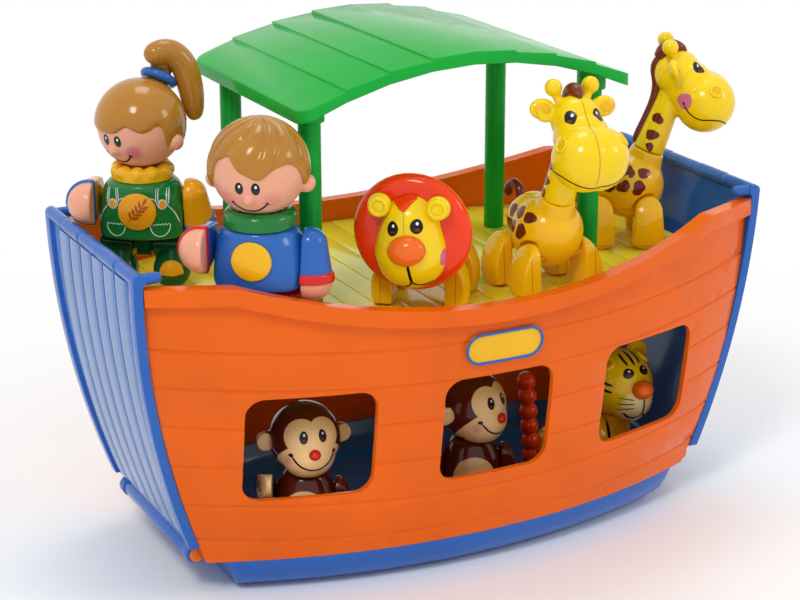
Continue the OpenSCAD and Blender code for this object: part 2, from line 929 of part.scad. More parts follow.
giraffe_axle = 14.5;
rump_f = 8;
rump_z = 36;
rump_r = 15.5;
barrel_f = 5;
barrel_z = 33;
neck_f = 15;
neck_z = 54;
neck_r = 9.4;
neck_top_r = 7.2;
neck_foot = 24;
neck_foot_r = 15;
crown_z = 8.5;
crown_r = 13.6;
cheek_f = 8;
cheek_r = 15;
muzzle_f = 18;
muzzle_drop = 8.5;
muzzle_r = 17.5;
muzzle_half = 3.5;
horn_r = 4.8;

// Frame of the neck: its foot at the shoulder, its axis leaning forward.
module at_neck() {
    translate([0, -neck_f, neck_z]) rotate([neck_lean, 0, 0]) children();
}

module giraffe_body() {
    color(yellow) difference() {
        union() {
            ball(barrel_f, barrel_z, giraffe_r);
            ball(-rump_f, rump_z, rump_r);
            at_neck() translate([0, 0, -neck_foot])
                cylinder(r1 = neck_foot_r, r2 = neck_r + 0.2, h = neck_foot);
        }
        leg_room(giraffe_axle, -giraffe_axle);
        at_neck() translate([0, 0, -pin_in - 3]) cylinder(r = 5 + run, h = pin_in + 4);
    }
}

// Neck and head in one piece, turned about the neck's own axis.
module giraffe_neck(turn) {
    color(yellow) at_neck() rotate(turn) {
        translate([0, 0, face_gap - pin_in - 1]) cylinder(r = 5, h = pin_in + 2);
        translate([0, 0, face_gap]) cylinder(r1 = neck_r, r2 = neck_top_r, h = neck_len);
        translate([0, 0, neck_len]) rotate([-neck_lean, 0, 0]) {
            ball(1.5, crown_z, crown_r);
            ball(cheek_f, 0.5, cheek_r);
            for (s = [-1, 1]) {
                translate([s * muzzle_half, 0, 0]) ball(muzzle_f, -muzzle_drop, muzzle_r);
                translate([s * 11.2, 4.5, 25.5]) sphere(horn_r);
                translate([s * 6, 2, 13]) rotate([-11, s * 22, 0]) cylinder(r = 2.5, h = 11);
                translate([s * 16, 3, 13]) rotate([75, s * 20, 0])
                    cylinder(r = 5.4, h = 3.4, center = true);
            }
        }
    }
}

// Curled tail on the rump.
module giraffe_tail() {
    curl = 6.5;
    tube = 2.6;
    color(brown) difference() {
        translate([0, rump_f + 14.6, 45]) rotate([0, 0, 90]) {
            translate([curl, 0, 0]) rotate([90, 0, 0]) rotate_extrude(angle = 200)
                translate([curl, 0]) circle(tube);
            translate([2 * curl, 0, 0]) sphere(tube);
        }
        ball(-rump_f, rump_z, rump_r + skin_gap);
    }
}

module place_giraffe_one() {
    translate(giraffe_one_at) rotate(giraffe_one_turn) children();
}

module place_giraffe_two() {
    translate(giraffe_two_at) rotate(giraffe_two_turn) children();
}

module giraffe_one_body() { place_giraffe_one() giraffe_body(); }

module giraffe_one_tail() { place_giraffe_one() giraffe_tail(); }

module giraffe_one_neck() { place_giraffe_one() giraffe_neck(giraffe_one_neck_turn); }

module giraffe_one_fore_legs() { place_giraffe_one() leg_pair(giraffe_axle); }

module giraffe_one_hind_legs() { place_giraffe_one() leg_pair(-giraffe_axle); }

module giraffe_two_body() { place_giraffe_two() giraffe_body(); }

module giraffe_two_tail() { place_giraffe_two() giraffe_tail(); }

module giraffe_two_neck() { place_giraffe_two() giraffe_neck(0); }

module giraffe_two_fore_legs() { place_giraffe_two() leg_pair(giraffe_axle); }

module giraffe_two_hind_legs() { place_giraffe_two() leg_pair(-giraffe_axle); }

// Monkeys

monkey_low = 20;
monkey_tall = 36;
monkey_half = 16;
monkey_shoulder = 24;

function monkey_head_z() = monkey_low + monkey_tall + monkey_head_r + face_gap - 1.5;

module monkey_body() {
    color(brown) translate([0, 0, monkey_low]) difference() {
        union() {
            intersection() {
                rotate_extrude() polygon([
                    [0, 0], [16, 0], [18.5, 4], [18.5, 14], [16.5, 24], [12.5, monkey_tall - 3],
                    [10, monkey_tall], [0, monkey_tall]
                ]);
                translate([-monkey_half, -far / 2, 0]) cube([2 * monkey_half, far, far]);
            }
            translate([-4.2, -5, -hip_drop - 4.5]) cube([8.4, 10, hip_drop + 8]);
        }
        translate([0, 0, monkey_tall - pin_in - 2]) cylinder(r = 5 + run, h = pin_in + 3);
        translate([0, 0, monkey_shoulder]) for (s = [-1, 1])
            bar_x(joint_r + run, s > 0 ? monkey_half - 8 : -monkey_half - 1,
                s > 0 ? monkey_half + 1 : -monkey_half + 8);
        translate([0, 0, -hip_drop]) bar_x(joint_r + run, -6, 6);
    }
}

module monkey_head(turn) {
    r = monkey_head_r;
    color(brown) translate([0, 0, monkey_head_z()]) rotate(turn) {
        difference() {
            union() {
                sphere(r, $fn = 96);
                translate([0, -6, -6]) sphere(r - 4.2, $fn = 96);
                translate([0, -r - 0.6, -3.2]) sphere(2.8);
                for (s = [-1, 1]) translate([s * (r + 1.5), 2, -1]) rotate([90, 0, 0])
                    cylinder(r = 5.4, h = 4, center = true);
            }
            translate([0, 0, -far - r + 1.5]) cylinder(r = far, h = far);
        }
        translate([0, 0, -r - pin_in]) cylinder(r = 5, h = pin_in + 4);
    }
}

module monkey_arm(s, swing) {
    inner = monkey_half + face_gap;
    thick = 10;
    reach = 24;
    dome = 28;
    color(brown) translate([0, 0, monkey_low + monkey_shoulder]) rotate([-swing, 0, 0])
        mirror([s > 0 ? 0 : 1, 0, 0]) {
            intersection() {
                along(inner, inner + thick) {
                    circle(7);
                    translate([0, -reach]) circle(6.6);
                    translate([-6.8, -reach]) square([13.6, reach]);
                }
                translate([inner + thick - dome, 0, -reach / 2]) sphere(dome, $fn = 128);
            }
            bar_x(joint_r, monkey_half - 7, inner + 1);
        }
}

module monkey_legs() {
    hip = monkey_low - hip_drop;
    inner = 4.2 + face_gap;
    r = hip - joint_r - 2.2;
    color(brown) {
        for (s = [-1, 1]) intersection() {
            union() {
                translate([s * 11.5, 0, r]) sphere(r);
                translate([s * 11.5, 0, hip]) bar_x(6.2, -7, 7);
                translate([s * 11.5, 0, r]) cylinder(r = 6.2, h = hip - r);
            }
            translate([s > 0 ? inner : -monkey_half, -far / 2, 0])
                cube([monkey_half - inner, far, far]);
        }
        translate([0, 0, hip]) bar_x(joint_r, -inner - 2, inner + 2);
    }
}

module place_monkey_one() {
    translate(monkey_one_at) rotate(monkey_one_turn) children();
}

module place_monkey_two() {
    translate(monkey_two_at) rotate(monkey_two_turn) children();
}

module monkey_one_body() { place_monkey_one() monkey_body(); }

module monkey_one_head() { place_monkey_one() monkey_head(monkey_one_head_turn); }

module monkey_one_arm_left() { place_monkey_one() monkey_arm(1, 0); }

module monkey_one_arm_right() { place_monkey_one() monkey_arm(-1, 115); }

module monkey_one_legs() { place_monkey_one() monkey_legs(); }

module monkey_two_body() { place_monkey_two() monkey_body(); }

module monkey_two_head() { place_monkey_two() monkey_head(monkey_two_head_turn); }

module monkey_two_arm_left() { place_monkey_two() monkey_arm(1, 0); }

module monkey_two_arm_right() { place_monkey_two() monkey_arm(-1, 10); }

module monkey_two_legs() { place_monkey_two() monkey_legs(); }

// Tiger

tiger_axle = 16;
tiger_neck_f = 24;
tiger_neck_z = 45;
tiger_neck_r = 8.4;

module place_tiger() {
    translate(tiger_at) rotate(tiger_turn) children();
}

module tiger_body() {
    color(yellow) place_tiger() difference() {
        union() {
            ball(chest_f, chest_z, chest_r);
            ball(-haunch_f, haunch_z, haunch_r);
            translate([0, -tiger_neck_f, chest_z]) cylinder(r = tiger_neck_r, h = tiger_neck_z - chest_z);
        }
        leg_room(tiger_axle, -tiger_axle);
        translate([0, -tiger_neck_f, tiger_neck_z - pin_in - 2])
            cylinder(r = 5 + run, h = pin_in + 3);
    }
}

module tiger_head() {
    r = tiger_head_r;
    color(yellow) place_tiger() translate([0, -tiger_neck_f, tiger_neck_z + face_gap + r - 1.8])
        rotate(tiger_head_turn) {
            difference() {
                union() {
                    sphere(r, $fn = 96);
                    translate([0, -10, -6]) sphere(14.5, $fn = 96);
                    translate([0, -r - 2.4, 1.5]) sphere(5);
                    for (s = [-1, 1]) translate([s * 14, 1, r - 3.5]) rotate([90, 0, 0])
                        cylinder(r = 6.2, h = 5, center = true);
                }
                translate([0, 0, -far - r + 1.8]) cylinder(r = far, h = far);
            }
            translate([0, 0, -r - pin_in + 1.8]) cylinder(r = 5, h = pin_in + 4);
        }
}

// Tail: a column of round lobes standing up from the rump.
tail_lobe = 5.6;
tail_lobes = 6;
tail_pitch = 9.4;
tail_back = 30;
tail_low = 24;

module tiger_tail() {
    color(orange) place_tiger() difference() {
        union() {
            for (i = [0:tail_lobes - 1])
                translate([0, tail_back + 0.8 * i, tail_low + i * tail_pitch]) sphere(tail_lobe);
            translate([0, tail_back - 6, tail_low]) rotate([-90, 0, 0]) cylinder(r = 3.5, h = 6);
        }
        ball(-haunch_f, haunch_z, haunch_r + skin_gap);
    }
}

module tiger_fore_legs() { place_tiger() leg_pair(tiger_axle); }

module tiger_hind_legs() { place_tiger() leg_pair(-tiger_axle); }

base_tub();
near_side();
far_side();
name_plate();
ramp_hinge_pins();
bow_ramp();
stern_ramp();
deck();
roof_panel();
roof_posts();
girl_torso();
girl_collar();
girl_badge();
girl_head();
girl_hair();
girl_hair_band();
girl_arm_left();
girl_arm_right();
girl_legs();
boy_torso();
boy_collar();
boy_badge();
boy_head();
boy_hair();
boy_arm_left();
boy_arm_right();
boy_legs();
lion_body();
lion_mane();
lion_face();
lion_fore_legs();
lion_hind_legs();
giraffe_one_body();
giraffe_one_tail();
giraffe_one_neck();
giraffe_one_fore_legs();
giraffe_one_hind_legs();
giraffe_two_body();
giraffe_two_tail();
giraffe_two_neck();
giraffe_two_fore_legs();
giraffe_two_hind_legs();
monkey_one_body();
monkey_one_head();
monkey_one_arm_left();
monkey_one_arm_right();
monkey_one_legs();
monkey_two_body();
monkey_two_head();
monkey_two_arm_left();
monkey_two_arm_right();
monkey_two_legs();
tiger_body();
tiger_tail();
tiger_head();
tiger_fore_legs();
tiger_hind_legs();
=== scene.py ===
"""Toy ark in glossy moulded plastic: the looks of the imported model, seen as in the photograph."""

import json
import logging
import math
from dataclasses import dataclass, field
from enum import Enum

import bmesh
import bpy
from mathutils import Matrix, Vector
from mathutils.bvhtree import BVHTree


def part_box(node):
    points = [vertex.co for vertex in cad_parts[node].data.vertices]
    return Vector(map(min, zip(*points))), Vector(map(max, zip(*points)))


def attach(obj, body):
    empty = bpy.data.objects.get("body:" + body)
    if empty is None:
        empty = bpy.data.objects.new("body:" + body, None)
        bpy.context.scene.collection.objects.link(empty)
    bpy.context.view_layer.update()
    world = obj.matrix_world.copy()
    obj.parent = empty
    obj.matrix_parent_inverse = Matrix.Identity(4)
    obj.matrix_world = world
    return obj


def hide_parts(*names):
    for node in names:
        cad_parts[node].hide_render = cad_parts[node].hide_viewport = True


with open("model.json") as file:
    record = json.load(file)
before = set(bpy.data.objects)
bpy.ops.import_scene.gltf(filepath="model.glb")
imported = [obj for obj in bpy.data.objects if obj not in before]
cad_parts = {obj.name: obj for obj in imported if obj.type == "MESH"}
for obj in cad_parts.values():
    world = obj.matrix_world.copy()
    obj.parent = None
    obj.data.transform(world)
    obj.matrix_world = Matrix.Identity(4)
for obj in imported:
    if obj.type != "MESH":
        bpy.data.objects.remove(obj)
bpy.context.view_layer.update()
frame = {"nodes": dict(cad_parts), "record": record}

logging.basicConfig(level=logging.INFO, format="%(name)s: %(message)s")
log = logging.getLogger("ark")

MM = 0.001
SIDES = ((-1, "right"), (1, "left"))
Flat = tuple[float, float]
Spot = tuple[float, float, float]
BODY_OF: dict[str, str] = {
    node: body for body, nodes in frame["record"]["behaviour"]["bodies"].items() for node in nodes
}


class Hue(Enum):
    """Colours of the mouldings and of the paint, as sRGB codes."""

    ORANGE = "e96406"
    BLUE = "2462b8"
    CLOTH_BLUE = "2a66b8"
    # Paler blue of the ramp slats: painted glare on the blue plastic.
    SLAT = "6a8ac0"
    YELLOW = "f6d20c"
    BADGE = "f2b814"
    # Warmer copy of the animals' yellow plastic: painted shade on their bodies and legs.
    AMBER = "f8c010"
    DECK = "fde83a"
    GREEN = "18a83c"
    LEAF = "1a7a35"
    DARK_GREEN = "17582d"
    RED = "d3221a"
    NAVY = "1f2763"
    SKIN = "e9a688"
    HAIR = "b27a24"
    BROWN = "6e2412"
    COCOA = "5a1c0e"
    TAN = "f4cd90"
    MANE = "ee3d09"
    NOSE = "ef6d16"
    PINK = "d8728c"
    BLUSH = "d66a78"
    BLACK = "0e0a09"
    # Grey of the painted reflection low in the figures' eyes.
    GREY = "2e2a28"
    WHITE = "f6f6f2"
    # Darker yellow of the parting lines: painted shade in their grooves.
    SEAM = "b8780c"
    CLOTH = "f4a616"
    # Claret: the real dark marks (giraffe mane and tuft, monkey swirl), and also the painted reflection low
    # in the animals' eyes.
    CLARET = "742b12"
    SPRIG = "c2560f"

    def rgba(self) -> tuple[float, float, float, float]:
        """Turns the sRGB code into a linear colour.

        Returns:
            Red, green, blue and a full alpha.
        """
        raw = [int(self.value[i:i + 2], 16) / 255.0 for i in (0, 2, 4)]
        lin = [c / 12.92 if c <= 0.04045 else ((c + 0.055) / 1.055) ** 2.4 for c in raw]
        return (lin[0], lin[1], lin[2], 1.0)


class Slot(Enum):
    """Material slots of the record."""

    ORANGE = "orange_plastic"
    BLUE = "blue_plastic"
    YELLOW = "yellow_plastic"
    GREEN = "green_plastic"
    DARK_GREEN = "dark_green_plastic"
    RED = "red_plastic"
    SKIN = "skin_plastic"
    HAIR = "hair_plastic"
    BROWN = "brown_plastic"


class ZoneKind(Enum):
    """How a second colour is bounded on a piece."""

    BALL = "soft_spot"
    PLANE = "plane_zone"


@dataclass(frozen=True)
class Zone:
    """A second colour inside a ball, or beyond a plane."""

    kind: ZoneKind
    at: Spot
    hue: Hue
    size: float = 0.005
    edge: float = 0.0003
    towards: Spot = (0.0, 0.0, 1.0)
    strength: float = 1.0


class ShaderKit:
    """Node groups that the finishes share."""

    @staticmethod
    def open(name: str, inputs: dict[str, str], outputs: dict[str, str]) -> tuple:
        """Starts a node group.

        Args:
            name: name of the group.
            inputs: socket names and types that go in.
            outputs: socket names and types that come out.

        Returns:
            The tree, its input node and its output node.
        """
        tree = bpy.data.node_groups.new(name, "ShaderNodeTree")
        for label, kind in inputs.items():
            tree.interface.new_socket(label, in_out="INPUT", socket_type=kind)
        for label, kind in outputs.items():
            tree.interface.new_socket(label, in_out="OUTPUT", socket_type=kind)
        return tree, tree.nodes.new("NodeGroupInput"), tree.nodes.new("NodeGroupOutput")

    @staticmethod
    def moulded() -> bpy.types.NodeTree:
        """Group for moulded plastic: uneven tone, uneven gloss and a faint ripple.

        Returns:
            The node group, made once.
        """
        made = bpy.data.node_groups.get("moulded_tone")
        if made:
            return made
        tree, inp, out = ShaderKit.open(
            "moulded_tone",
            {"Colour": "NodeSocketColor", "Depth": "NodeSocketFloat", "Low": "NodeSocketFloat",
             "High": "NodeSocketFloat"},
            {"Colour": "NodeSocketColor", "Roughness": "NodeSocketFloat", "Height": "NodeSocketFloat"})
        add, link = tree.nodes.new, tree.links.new
        coords = add("ShaderNodeTexCoord")
        noises = []
        for scale, detail in ((22.0, 2.0), (65.0, 3.0), (420.0, 1.0)):
            noise = add("ShaderNodeTexNoise")
            noise.inputs["Scale"].default_value = scale
            noise.inputs["Detail"].default_value = detail
            link(coords.outputs["Object"], noise.inputs["Vector"])
            noises.append(noise)
        low, high = (add("ShaderNodeMath") for _ in range(2))
        low.operation, high.operation = "SUBTRACT", "ADD"
        low.inputs[0].default_value = high.inputs[0].default_value = 1.0
        link(inp.outputs["Depth"], low.inputs[1])
        link(inp.outputs["Depth"], high.inputs[1])
        tone = add("ShaderNodeMapRange")
        tone.inputs["From Min"].default_value = 0.3
        tone.inputs["From Max"].default_value = 0.7
        link(noises[0].outputs["Fac"], tone.inputs["Value"])
        link(low.outputs[0], tone.inputs["To Min"])
        link(high.outputs[0], tone.inputs["To Max"])
        tint = add("ShaderNodeVectorMath")
        tint.operation = "SCALE"
        link(inp.outputs["Colour"], tint.inputs[0])
        link(tone.outputs["Result"], tint.inputs["Scale"])
        gloss = add("ShaderNodeMapRange")
        gloss.inputs["From Min"].default_value = 0.3
        gloss.inputs["From Max"].default_value = 0.7
        link(noises[1].outputs["Fac"], gloss.inputs["Value"])
        link(inp.outputs["Low"], gloss.inputs["To Min"])
        link(inp.outputs["High"], gloss.inputs["To Max"])
        link(tint.outputs[0], out.inputs["Colour"])
        link(gloss.outputs["Result"], out.inputs["Roughness"])
        link(noises[2].outputs["Fac"], out.inputs["Height"])
        return tree

    @staticmethod
    def zone(kind: ZoneKind) -> bpy.types.NodeTree:
        """Group whose mask is 1 inside a ball, or beyond a plane.

        Args:
            kind: ball or plane.

        Returns:
            The node group, made once a kind.
        """
        made = bpy.data.node_groups.get(kind.value)
        if made:
            return made
        tree, inp, out = ShaderKit.open(
            kind.value,
            {"At": "NodeSocketVector", "Towards": "NodeSocketVector", "Size": "NodeSocketFloat",
             "Edge": "NodeSocketFloat", "Strength": "NodeSocketFloat"},
            {"Mask": "NodeSocketFloat"})
        add, link = tree.nodes.new, tree.links.new
        coords = add("ShaderNodeTexCoord")
        offset = add("ShaderNodeVectorMath")
        offset.operation = "SUBTRACT"
        link(coords.outputs["Object"], offset.inputs[0])
        link(inp.outputs["At"], offset.inputs[1])
        reach = add("ShaderNodeVectorMath")
        reach.operation = "LENGTH" if kind is ZoneKind.BALL else "DOT_PRODUCT"
        link(offset.outputs[0], reach.inputs[0])
        depth = add("ShaderNodeMath")
        depth.operation = "SUBTRACT"
        if kind is ZoneKind.BALL:
            link(inp.outputs["Size"], depth.inputs[0])
            link(reach.outputs["Value"], depth.inputs[1])
        else:
            link(inp.outputs["Towards"], reach.inputs[1])
            link(reach.outputs["Value"], depth.inputs[0])
            depth.inputs[1].default_value = 0.0
        ramp = add("ShaderNodeMapRange")
        ramp.interpolation_type = "SMOOTHSTEP"
        ramp.inputs["From Min"].default_value = 0.0
        link(depth.outputs[0], ramp.inputs["Value"])
        link(inp.outputs["Edge"], ramp.inputs["From Max"])
        link(inp.outputs["Strength"], ramp.inputs["To Max"])
        link(ramp.outputs["Result"], out.inputs["Mask"])
        return tree


@dataclass(frozen=True)
class Finish:
    """Glossy moulded or painted plastic in one colour, with zones of others."""

    name: str
    hue: Hue
    slot: Slot | None = None
    low: float = 0.1
    high: float = 0.17
    coat: float = 0.08
    tone: float = 0.05
    zones: tuple[Zone, ...] = ()
    glow: float = 0.2
    shine: float = 0.3

    def material(self) -> bpy.types.Material:
        """Builds the material once.

        Returns:
            The material, with the Principled shader in it.
        """
        made = bpy.data.materials.get(self.name)
        if made:
            return made
        made = bpy.data.materials.new(self.name)
        made.use_nodes = True
        nodes, links = made.node_tree.nodes, made.node_tree.links
        shader = nodes["Principled BSDF"]
        tone = nodes.new("ShaderNodeGroup")
        tone.node_tree = ShaderKit.moulded()
        tone.inputs["Colour"].default_value = self.hue.rgba()
        tone.inputs["Depth"].default_value = self.tone
        tone.inputs["Low"].default_value = self.low
        tone.inputs["High"].default_value = self.high
        last = None
        for zone in self.zones:
            last = self._mix(made.node_tree, zone, last)
        if last:
            links.new(last, tone.inputs["Colour"])
        bump = nodes.new("ShaderNodeBump")
        bump.inputs["Strength"].default_value = 0.05
        bump.inputs["Distance"].default_value = 0.0002
        links.new(tone.outputs["Height"], bump.inputs["Height"])
        links.new(tone.outputs["Colour"], shader.inputs["Base Color"])
        links.new(tone.outputs["Roughness"], shader.inputs["Roughness"])
        links.new(bump.outputs["Normal"], shader.inputs["Normal"])
        shader.inputs["Coat Weight"].default_value = self.coat
        shader.inputs["Coat Roughness"].default_value = 0.06
        shader.inputs["Specular IOR Level"].default_value = self.shine
        shader.inputs["Subsurface Weight"].default_value = self.glow
        shader.inputs["Subsurface Radius"].default_value = (1.0, 0.45, 0.2)
        shader.inputs["Subsurface Scale"].default_value = 0.003
        return made

    def _mix(self, tree: bpy.types.NodeTree, zone: Zone,
             last: bpy.types.NodeSocket | None) -> bpy.types.NodeSocket:
        """Lays one zone over the colour so far.

        Args:
            tree: the material's tree.
            zone: the zone to lay on.
            last: colour so far, or None for the finish's own.

        Returns:
            The socket with the new colour.
        """
        mask = tree.nodes.new("ShaderNodeGroup")
        mask.node_tree = ShaderKit.zone(zone.kind)
        mask.inputs["At"].default_value = zone.at
        mask.inputs["Towards"].default_value = zone.towards
        mask.inputs["Size"].default_value = zone.size
        mask.inputs["Edge"].default_value = zone.edge
        mask.inputs["Strength"].default_value = zone.strength
        mix = tree.nodes.new("ShaderNodeMix")
        mix.data_type = "RGBA"
        mix.inputs[6].default_value = self.hue.rgba()
        mix.inputs[7].default_value = zone.hue.rgba()
        tree.links.new(mask.outputs["Mask"], mix.inputs[0])
        if last:
            tree.links.new(last, mix.inputs[6])
        return mix.outputs[2]


class Coats:
    """Finishes used all over the toy."""

    ORANGE = Finish("hull_orange", Hue.ORANGE, Slot.ORANGE, 0.12, 0.2, 0.04, shine=0.2)
    BLUE = Finish("base_blue", Hue.BLUE, Slot.BLUE)
    SLAT = Finish("slat_blue", Hue.SLAT, Slot.BLUE, 0.12, 0.2, 0.08)
    YELLOW = Finish("animal_yellow", Hue.YELLOW, Slot.YELLOW)
    AMBER = Finish("body_amber", Hue.AMBER, Slot.YELLOW)
    DECK = Finish("deck_yellow", Hue.DECK, Slot.YELLOW, 0.14, 0.22, 0.05)
    GREEN = Finish("roof_green", Hue.GREEN, Slot.GREEN, 0.1, 0.18, 0.0, shine=0.12)
    LEAF = Finish("leaf_green", Hue.LEAF, Slot.GREEN)
    DARK_GREEN = Finish("cloth_green", Hue.DARK_GREEN, Slot.DARK_GREEN)
    RED = Finish("cloth_red", Hue.RED, Slot.RED)
    NAVY = Finish("cloth_navy", Hue.NAVY, Slot.BLUE)
    CLOTH_BLUE = Finish("cloth_blue", Hue.CLOTH_BLUE, Slot.BLUE)
    GOLD = Finish("sleeve_gold", Hue.CLOTH, Slot.YELLOW)
    SKIN = Finish("hand_skin", Hue.SKIN, Slot.SKIN, 0.24, 0.34, 0.1)
    HAIR = Finish("hair_brown", Hue.HAIR, Slot.HAIR, 0.12, 0.2, 0.2, 0.1)
    BROWN = Finish("spot_brown", Hue.BROWN, Slot.BROWN)
    COCOA = Finish("monkey_brown", Hue.COCOA, Slot.BROWN)
    TAN = Finish("monkey_tan", Hue.TAN, Slot.SKIN)
    MANE = Finish("mane_orange", Hue.MANE, Slot.ORANGE)
    NOSE = Finish("nose_orange", Hue.NOSE, Slot.ORANGE)
    BLACK = Finish("paint_black", Hue.BLACK, None, 0.25, 0.35, 0.0, glow=0.0)
    GREY = Finish("paint_grey", Hue.GREY, None, glow=0.0)
    WHITE = Finish("paint_white", Hue.WHITE, None, 0.2, 0.3)
    SEAM = Finish("parting_line", Hue.SEAM, glow=0.0)
    CLARET = Finish("spot_claret", Hue.CLARET, Slot.BROWN)
    SPRIG = Finish("sprig_orange", Hue.SPRIG)
    BADGE = Finish("badge_yellow", Hue.BADGE, Slot.YELLOW)
    BADGE_GOLD = Finish("badge_gold", Hue.CLOTH, Slot.ORANGE)


def smooth(path: list[tuple[float, ...]], fine: int = 8) -> list[tuple[float, ...]]:
    """Runs a smooth line through points.

    Args:
        path: points to pass through.
        fine: steps between two points.

    Returns:
        The finer line.
    """
    out = []
    for i in range(len(path) - 1):
        a, b, c, d = (Vector(path[max(0, min(len(path) - 1, i + k))]) for k in (-1, 0, 1, 2))
        for k in range(fine):
            t = k / fine
            out.append(tuple(0.5 * (2 * b + (c - a) * t + (2 * a - 5 * b + 4 * c - d) * t * t
                                    + (3 * b - a - 3 * c + d) * t ** 3)))
    return out + [tuple(path[-1])]


class Shaper:
    """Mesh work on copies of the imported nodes."""

    @staticmethod
    def link(name: str, mesh: bpy.types.Mesh) -> bpy.types.Object:
        """Puts a mesh in the scene.

        Args:
            name: name of the object.
            mesh: its mesh.

        Returns:
            The object, at the origin.
        """
        obj = bpy.data.objects.new(name, mesh)
        bpy.context.scene.collection.objects.link(obj)
        return obj

    @staticmethod
    def solid(name: str, verts: list[Vector], faces: list[tuple[int, ...]]) -> bpy.types.Object:
        """Makes an object of points and faces, with its faces turned outwards.

        Args:
            name: name of the piece.
            verts: points in metres.
            faces: corners of each face.

        Returns:
            The smooth-shaded object.
        """
        mesh = bpy.data.meshes.new(name)
        mesh.from_pydata([tuple(v) for v in verts], [], faces)
        work = bmesh.new()
        work.from_mesh(mesh)
        bmesh.ops.remove_doubles(work, verts=work.verts, dist=1e-7)
        bmesh.ops.recalc_face_normals(work, faces=work.faces)
        work.to_mesh(mesh)
        work.free()
        mesh.shade_smooth()
        mesh.set_sharp_from_angle(angle=math.radians(50.0))
        return Shaper.link(name, mesh)

    @staticmethod
    def copy(node: str, name: str) -> bpy.types.Object:
        """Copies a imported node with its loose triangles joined.

        Args:
            node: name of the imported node.
            name: name of the copy.

        Returns:
            The copy, free of normals and materials.
        """
        source = frame["nodes"][node]
        work = bmesh.new()
        work.from_mesh(source.data)
        work.transform(source.matrix_world)
        bmesh.ops.remove_doubles(work, verts=work.verts, dist=1e-6)
        bmesh.ops.dissolve_degenerate(work, edges=work.edges, dist=1e-7)
        bmesh.ops.recalc_face_normals(work, faces=work.faces)
        mesh = bpy.data.meshes.new(name)
        work.to_mesh(mesh)
        work.free()
        for label in ("custom_normal", "sharp_face", "sharp_edge"):
            if label in mesh.attributes:
                mesh.attributes.remove(mesh.attributes[label])
        return Shaper.link(name, mesh)

    @staticmethod
    def settle(obj: bpy.types.Object) -> bpy.types.Object:
        """Turns an object with modifiers into one plain mesh.

        Args:
            obj: the object, a mesh or a curve.

        Returns:
            A mesh object with the same name and no modifiers.
        """
        graph = bpy.context.evaluated_depsgraph_get()
        mesh = bpy.data.meshes.new_from_object(obj.evaluated_get(graph), depsgraph=graph)
        name = obj.name
        bpy.data.objects.remove(obj)
        mesh.name = name
        return Shaper.link(name, mesh)

    @staticmethod
    def soften(obj: bpy.types.Object, grain: float = 0.8, rounds: int = 6) -> bpy.types.Object:
        """Melts a blocky solid into a moulded shape.

        Args:
            obj: closed mesh.
            grain: size of the new faces in mm.
            rounds: how often the surface is relaxed.

        Returns:
            The softened object.
        """
        melt = obj.modifiers.new("melt", "REMESH")
        melt.mode = "VOXEL"
        melt.voxel_size = grain * MM
        relax = obj.modifiers.new("relax", "SMOOTH")
        relax.factor = 0.5
        relax.iterations = rounds
        out = Shaper.settle(obj)
        out.data.shade_smooth()
        return out

    @staticmethod
    def ease(obj: bpy.types.Object, width: float, angle: float = 40.0) -> bpy.types.Object:
        """Rounds the sharp edges of a solid.

        Args:
            obj: closed mesh.
            width: width of the rounding in mm.
            angle: edges sharper than this are rounded.

        Returns:
            The eased object, shaded smooth.
        """
        flat = obj.modifiers.new("flat", "DECIMATE")
        flat.decimate_type = "DISSOLVE"
        flat.angle_limit = math.radians(0.5)
        round_off = obj.modifiers.new("round", "BEVEL")
        round_off.width = width * MM
        round_off.segments = 3
        round_off.limit_method = "ANGLE"
        round_off.angle_limit = math.radians(angle)
        tri = obj.modifiers.new("tri", "TRIANGULATE")
        tri.min_vertices = 5
        out = Shaper.settle(obj)
        out.data.shade_smooth()
        out.data.set_sharp_from_angle(angle=math.radians(34.0))
        return out

    @staticmethod
    def slab(obj: bpy.types.Object, name: str, start: Vector, way: Vector, near: float, far: float,
             swell: float = 0.0) -> bpy.types.Object:
        """Cuts the slab of a solid between two planes.

        Args:
            obj: closed mesh, left as it is.
            name: name of the slab.
            start: point the distances are counted from.
            way: direction the distances are counted in.
            near: distance of the first plane in mm.
            far: distance of the second plane in mm.
            swell: growth of the surface in mm before the cut.

        Returns:
            The slab, closed at both cuts.
        """
        work = bmesh.new()
        work.from_mesh(obj.data)
        if swell:
            work.normal_update()
            for vert in work.verts:
                vert.co += vert.normal * swell * MM
        for reach, sign in ((near, -1.0), (far, 1.0)):
            cut = bmesh.ops.bisect_plane(
                work, geom=work.verts[:] + work.edges[:] + work.faces[:], plane_co=start + way * reach * MM,
                plane_no=way * sign, clear_outer=True)
            edges = [e for e in cut["geom_cut"] if isinstance(e, bmesh.types.BMEdge)]
            if edges:
                bmesh.ops.triangle_fill(work, edges=edges, use_beauty=True)
        bmesh.ops.recalc_face_normals(work, faces=work.faces)
        mesh = bpy.data.meshes.new(name)
        work.to_mesh(mesh)
        work.free()
        return Shaper.link(name, mesh)

    @staticmethod
    def flush(obj: bpy.types.Object, like: bpy.types.Object, base: Matrix, s: int) -> bpy.types.Object:
        """Presses the inner side of a piece flat, no nearer the body than another piece.

        Args:
            obj: piece to press.
            like: piece that gives the inner side, removed here.
            base: frame of both, in mm.
            s: 1 where the body lies towards the frame's negative x, -1 where it lies the other way.

        Returns:
            The pressed piece.
        """
        back = base.inverted()
        inner = min(s * (back @ vert.co).x for vert in like.data.vertices)
        for vert in obj.data.vertices:
            at = back @ vert.co
            vert.co = base @ Vector((s * max(s * at.x, inner), at.y, at.z))
        bpy.data.objects.remove(like)
        return obj

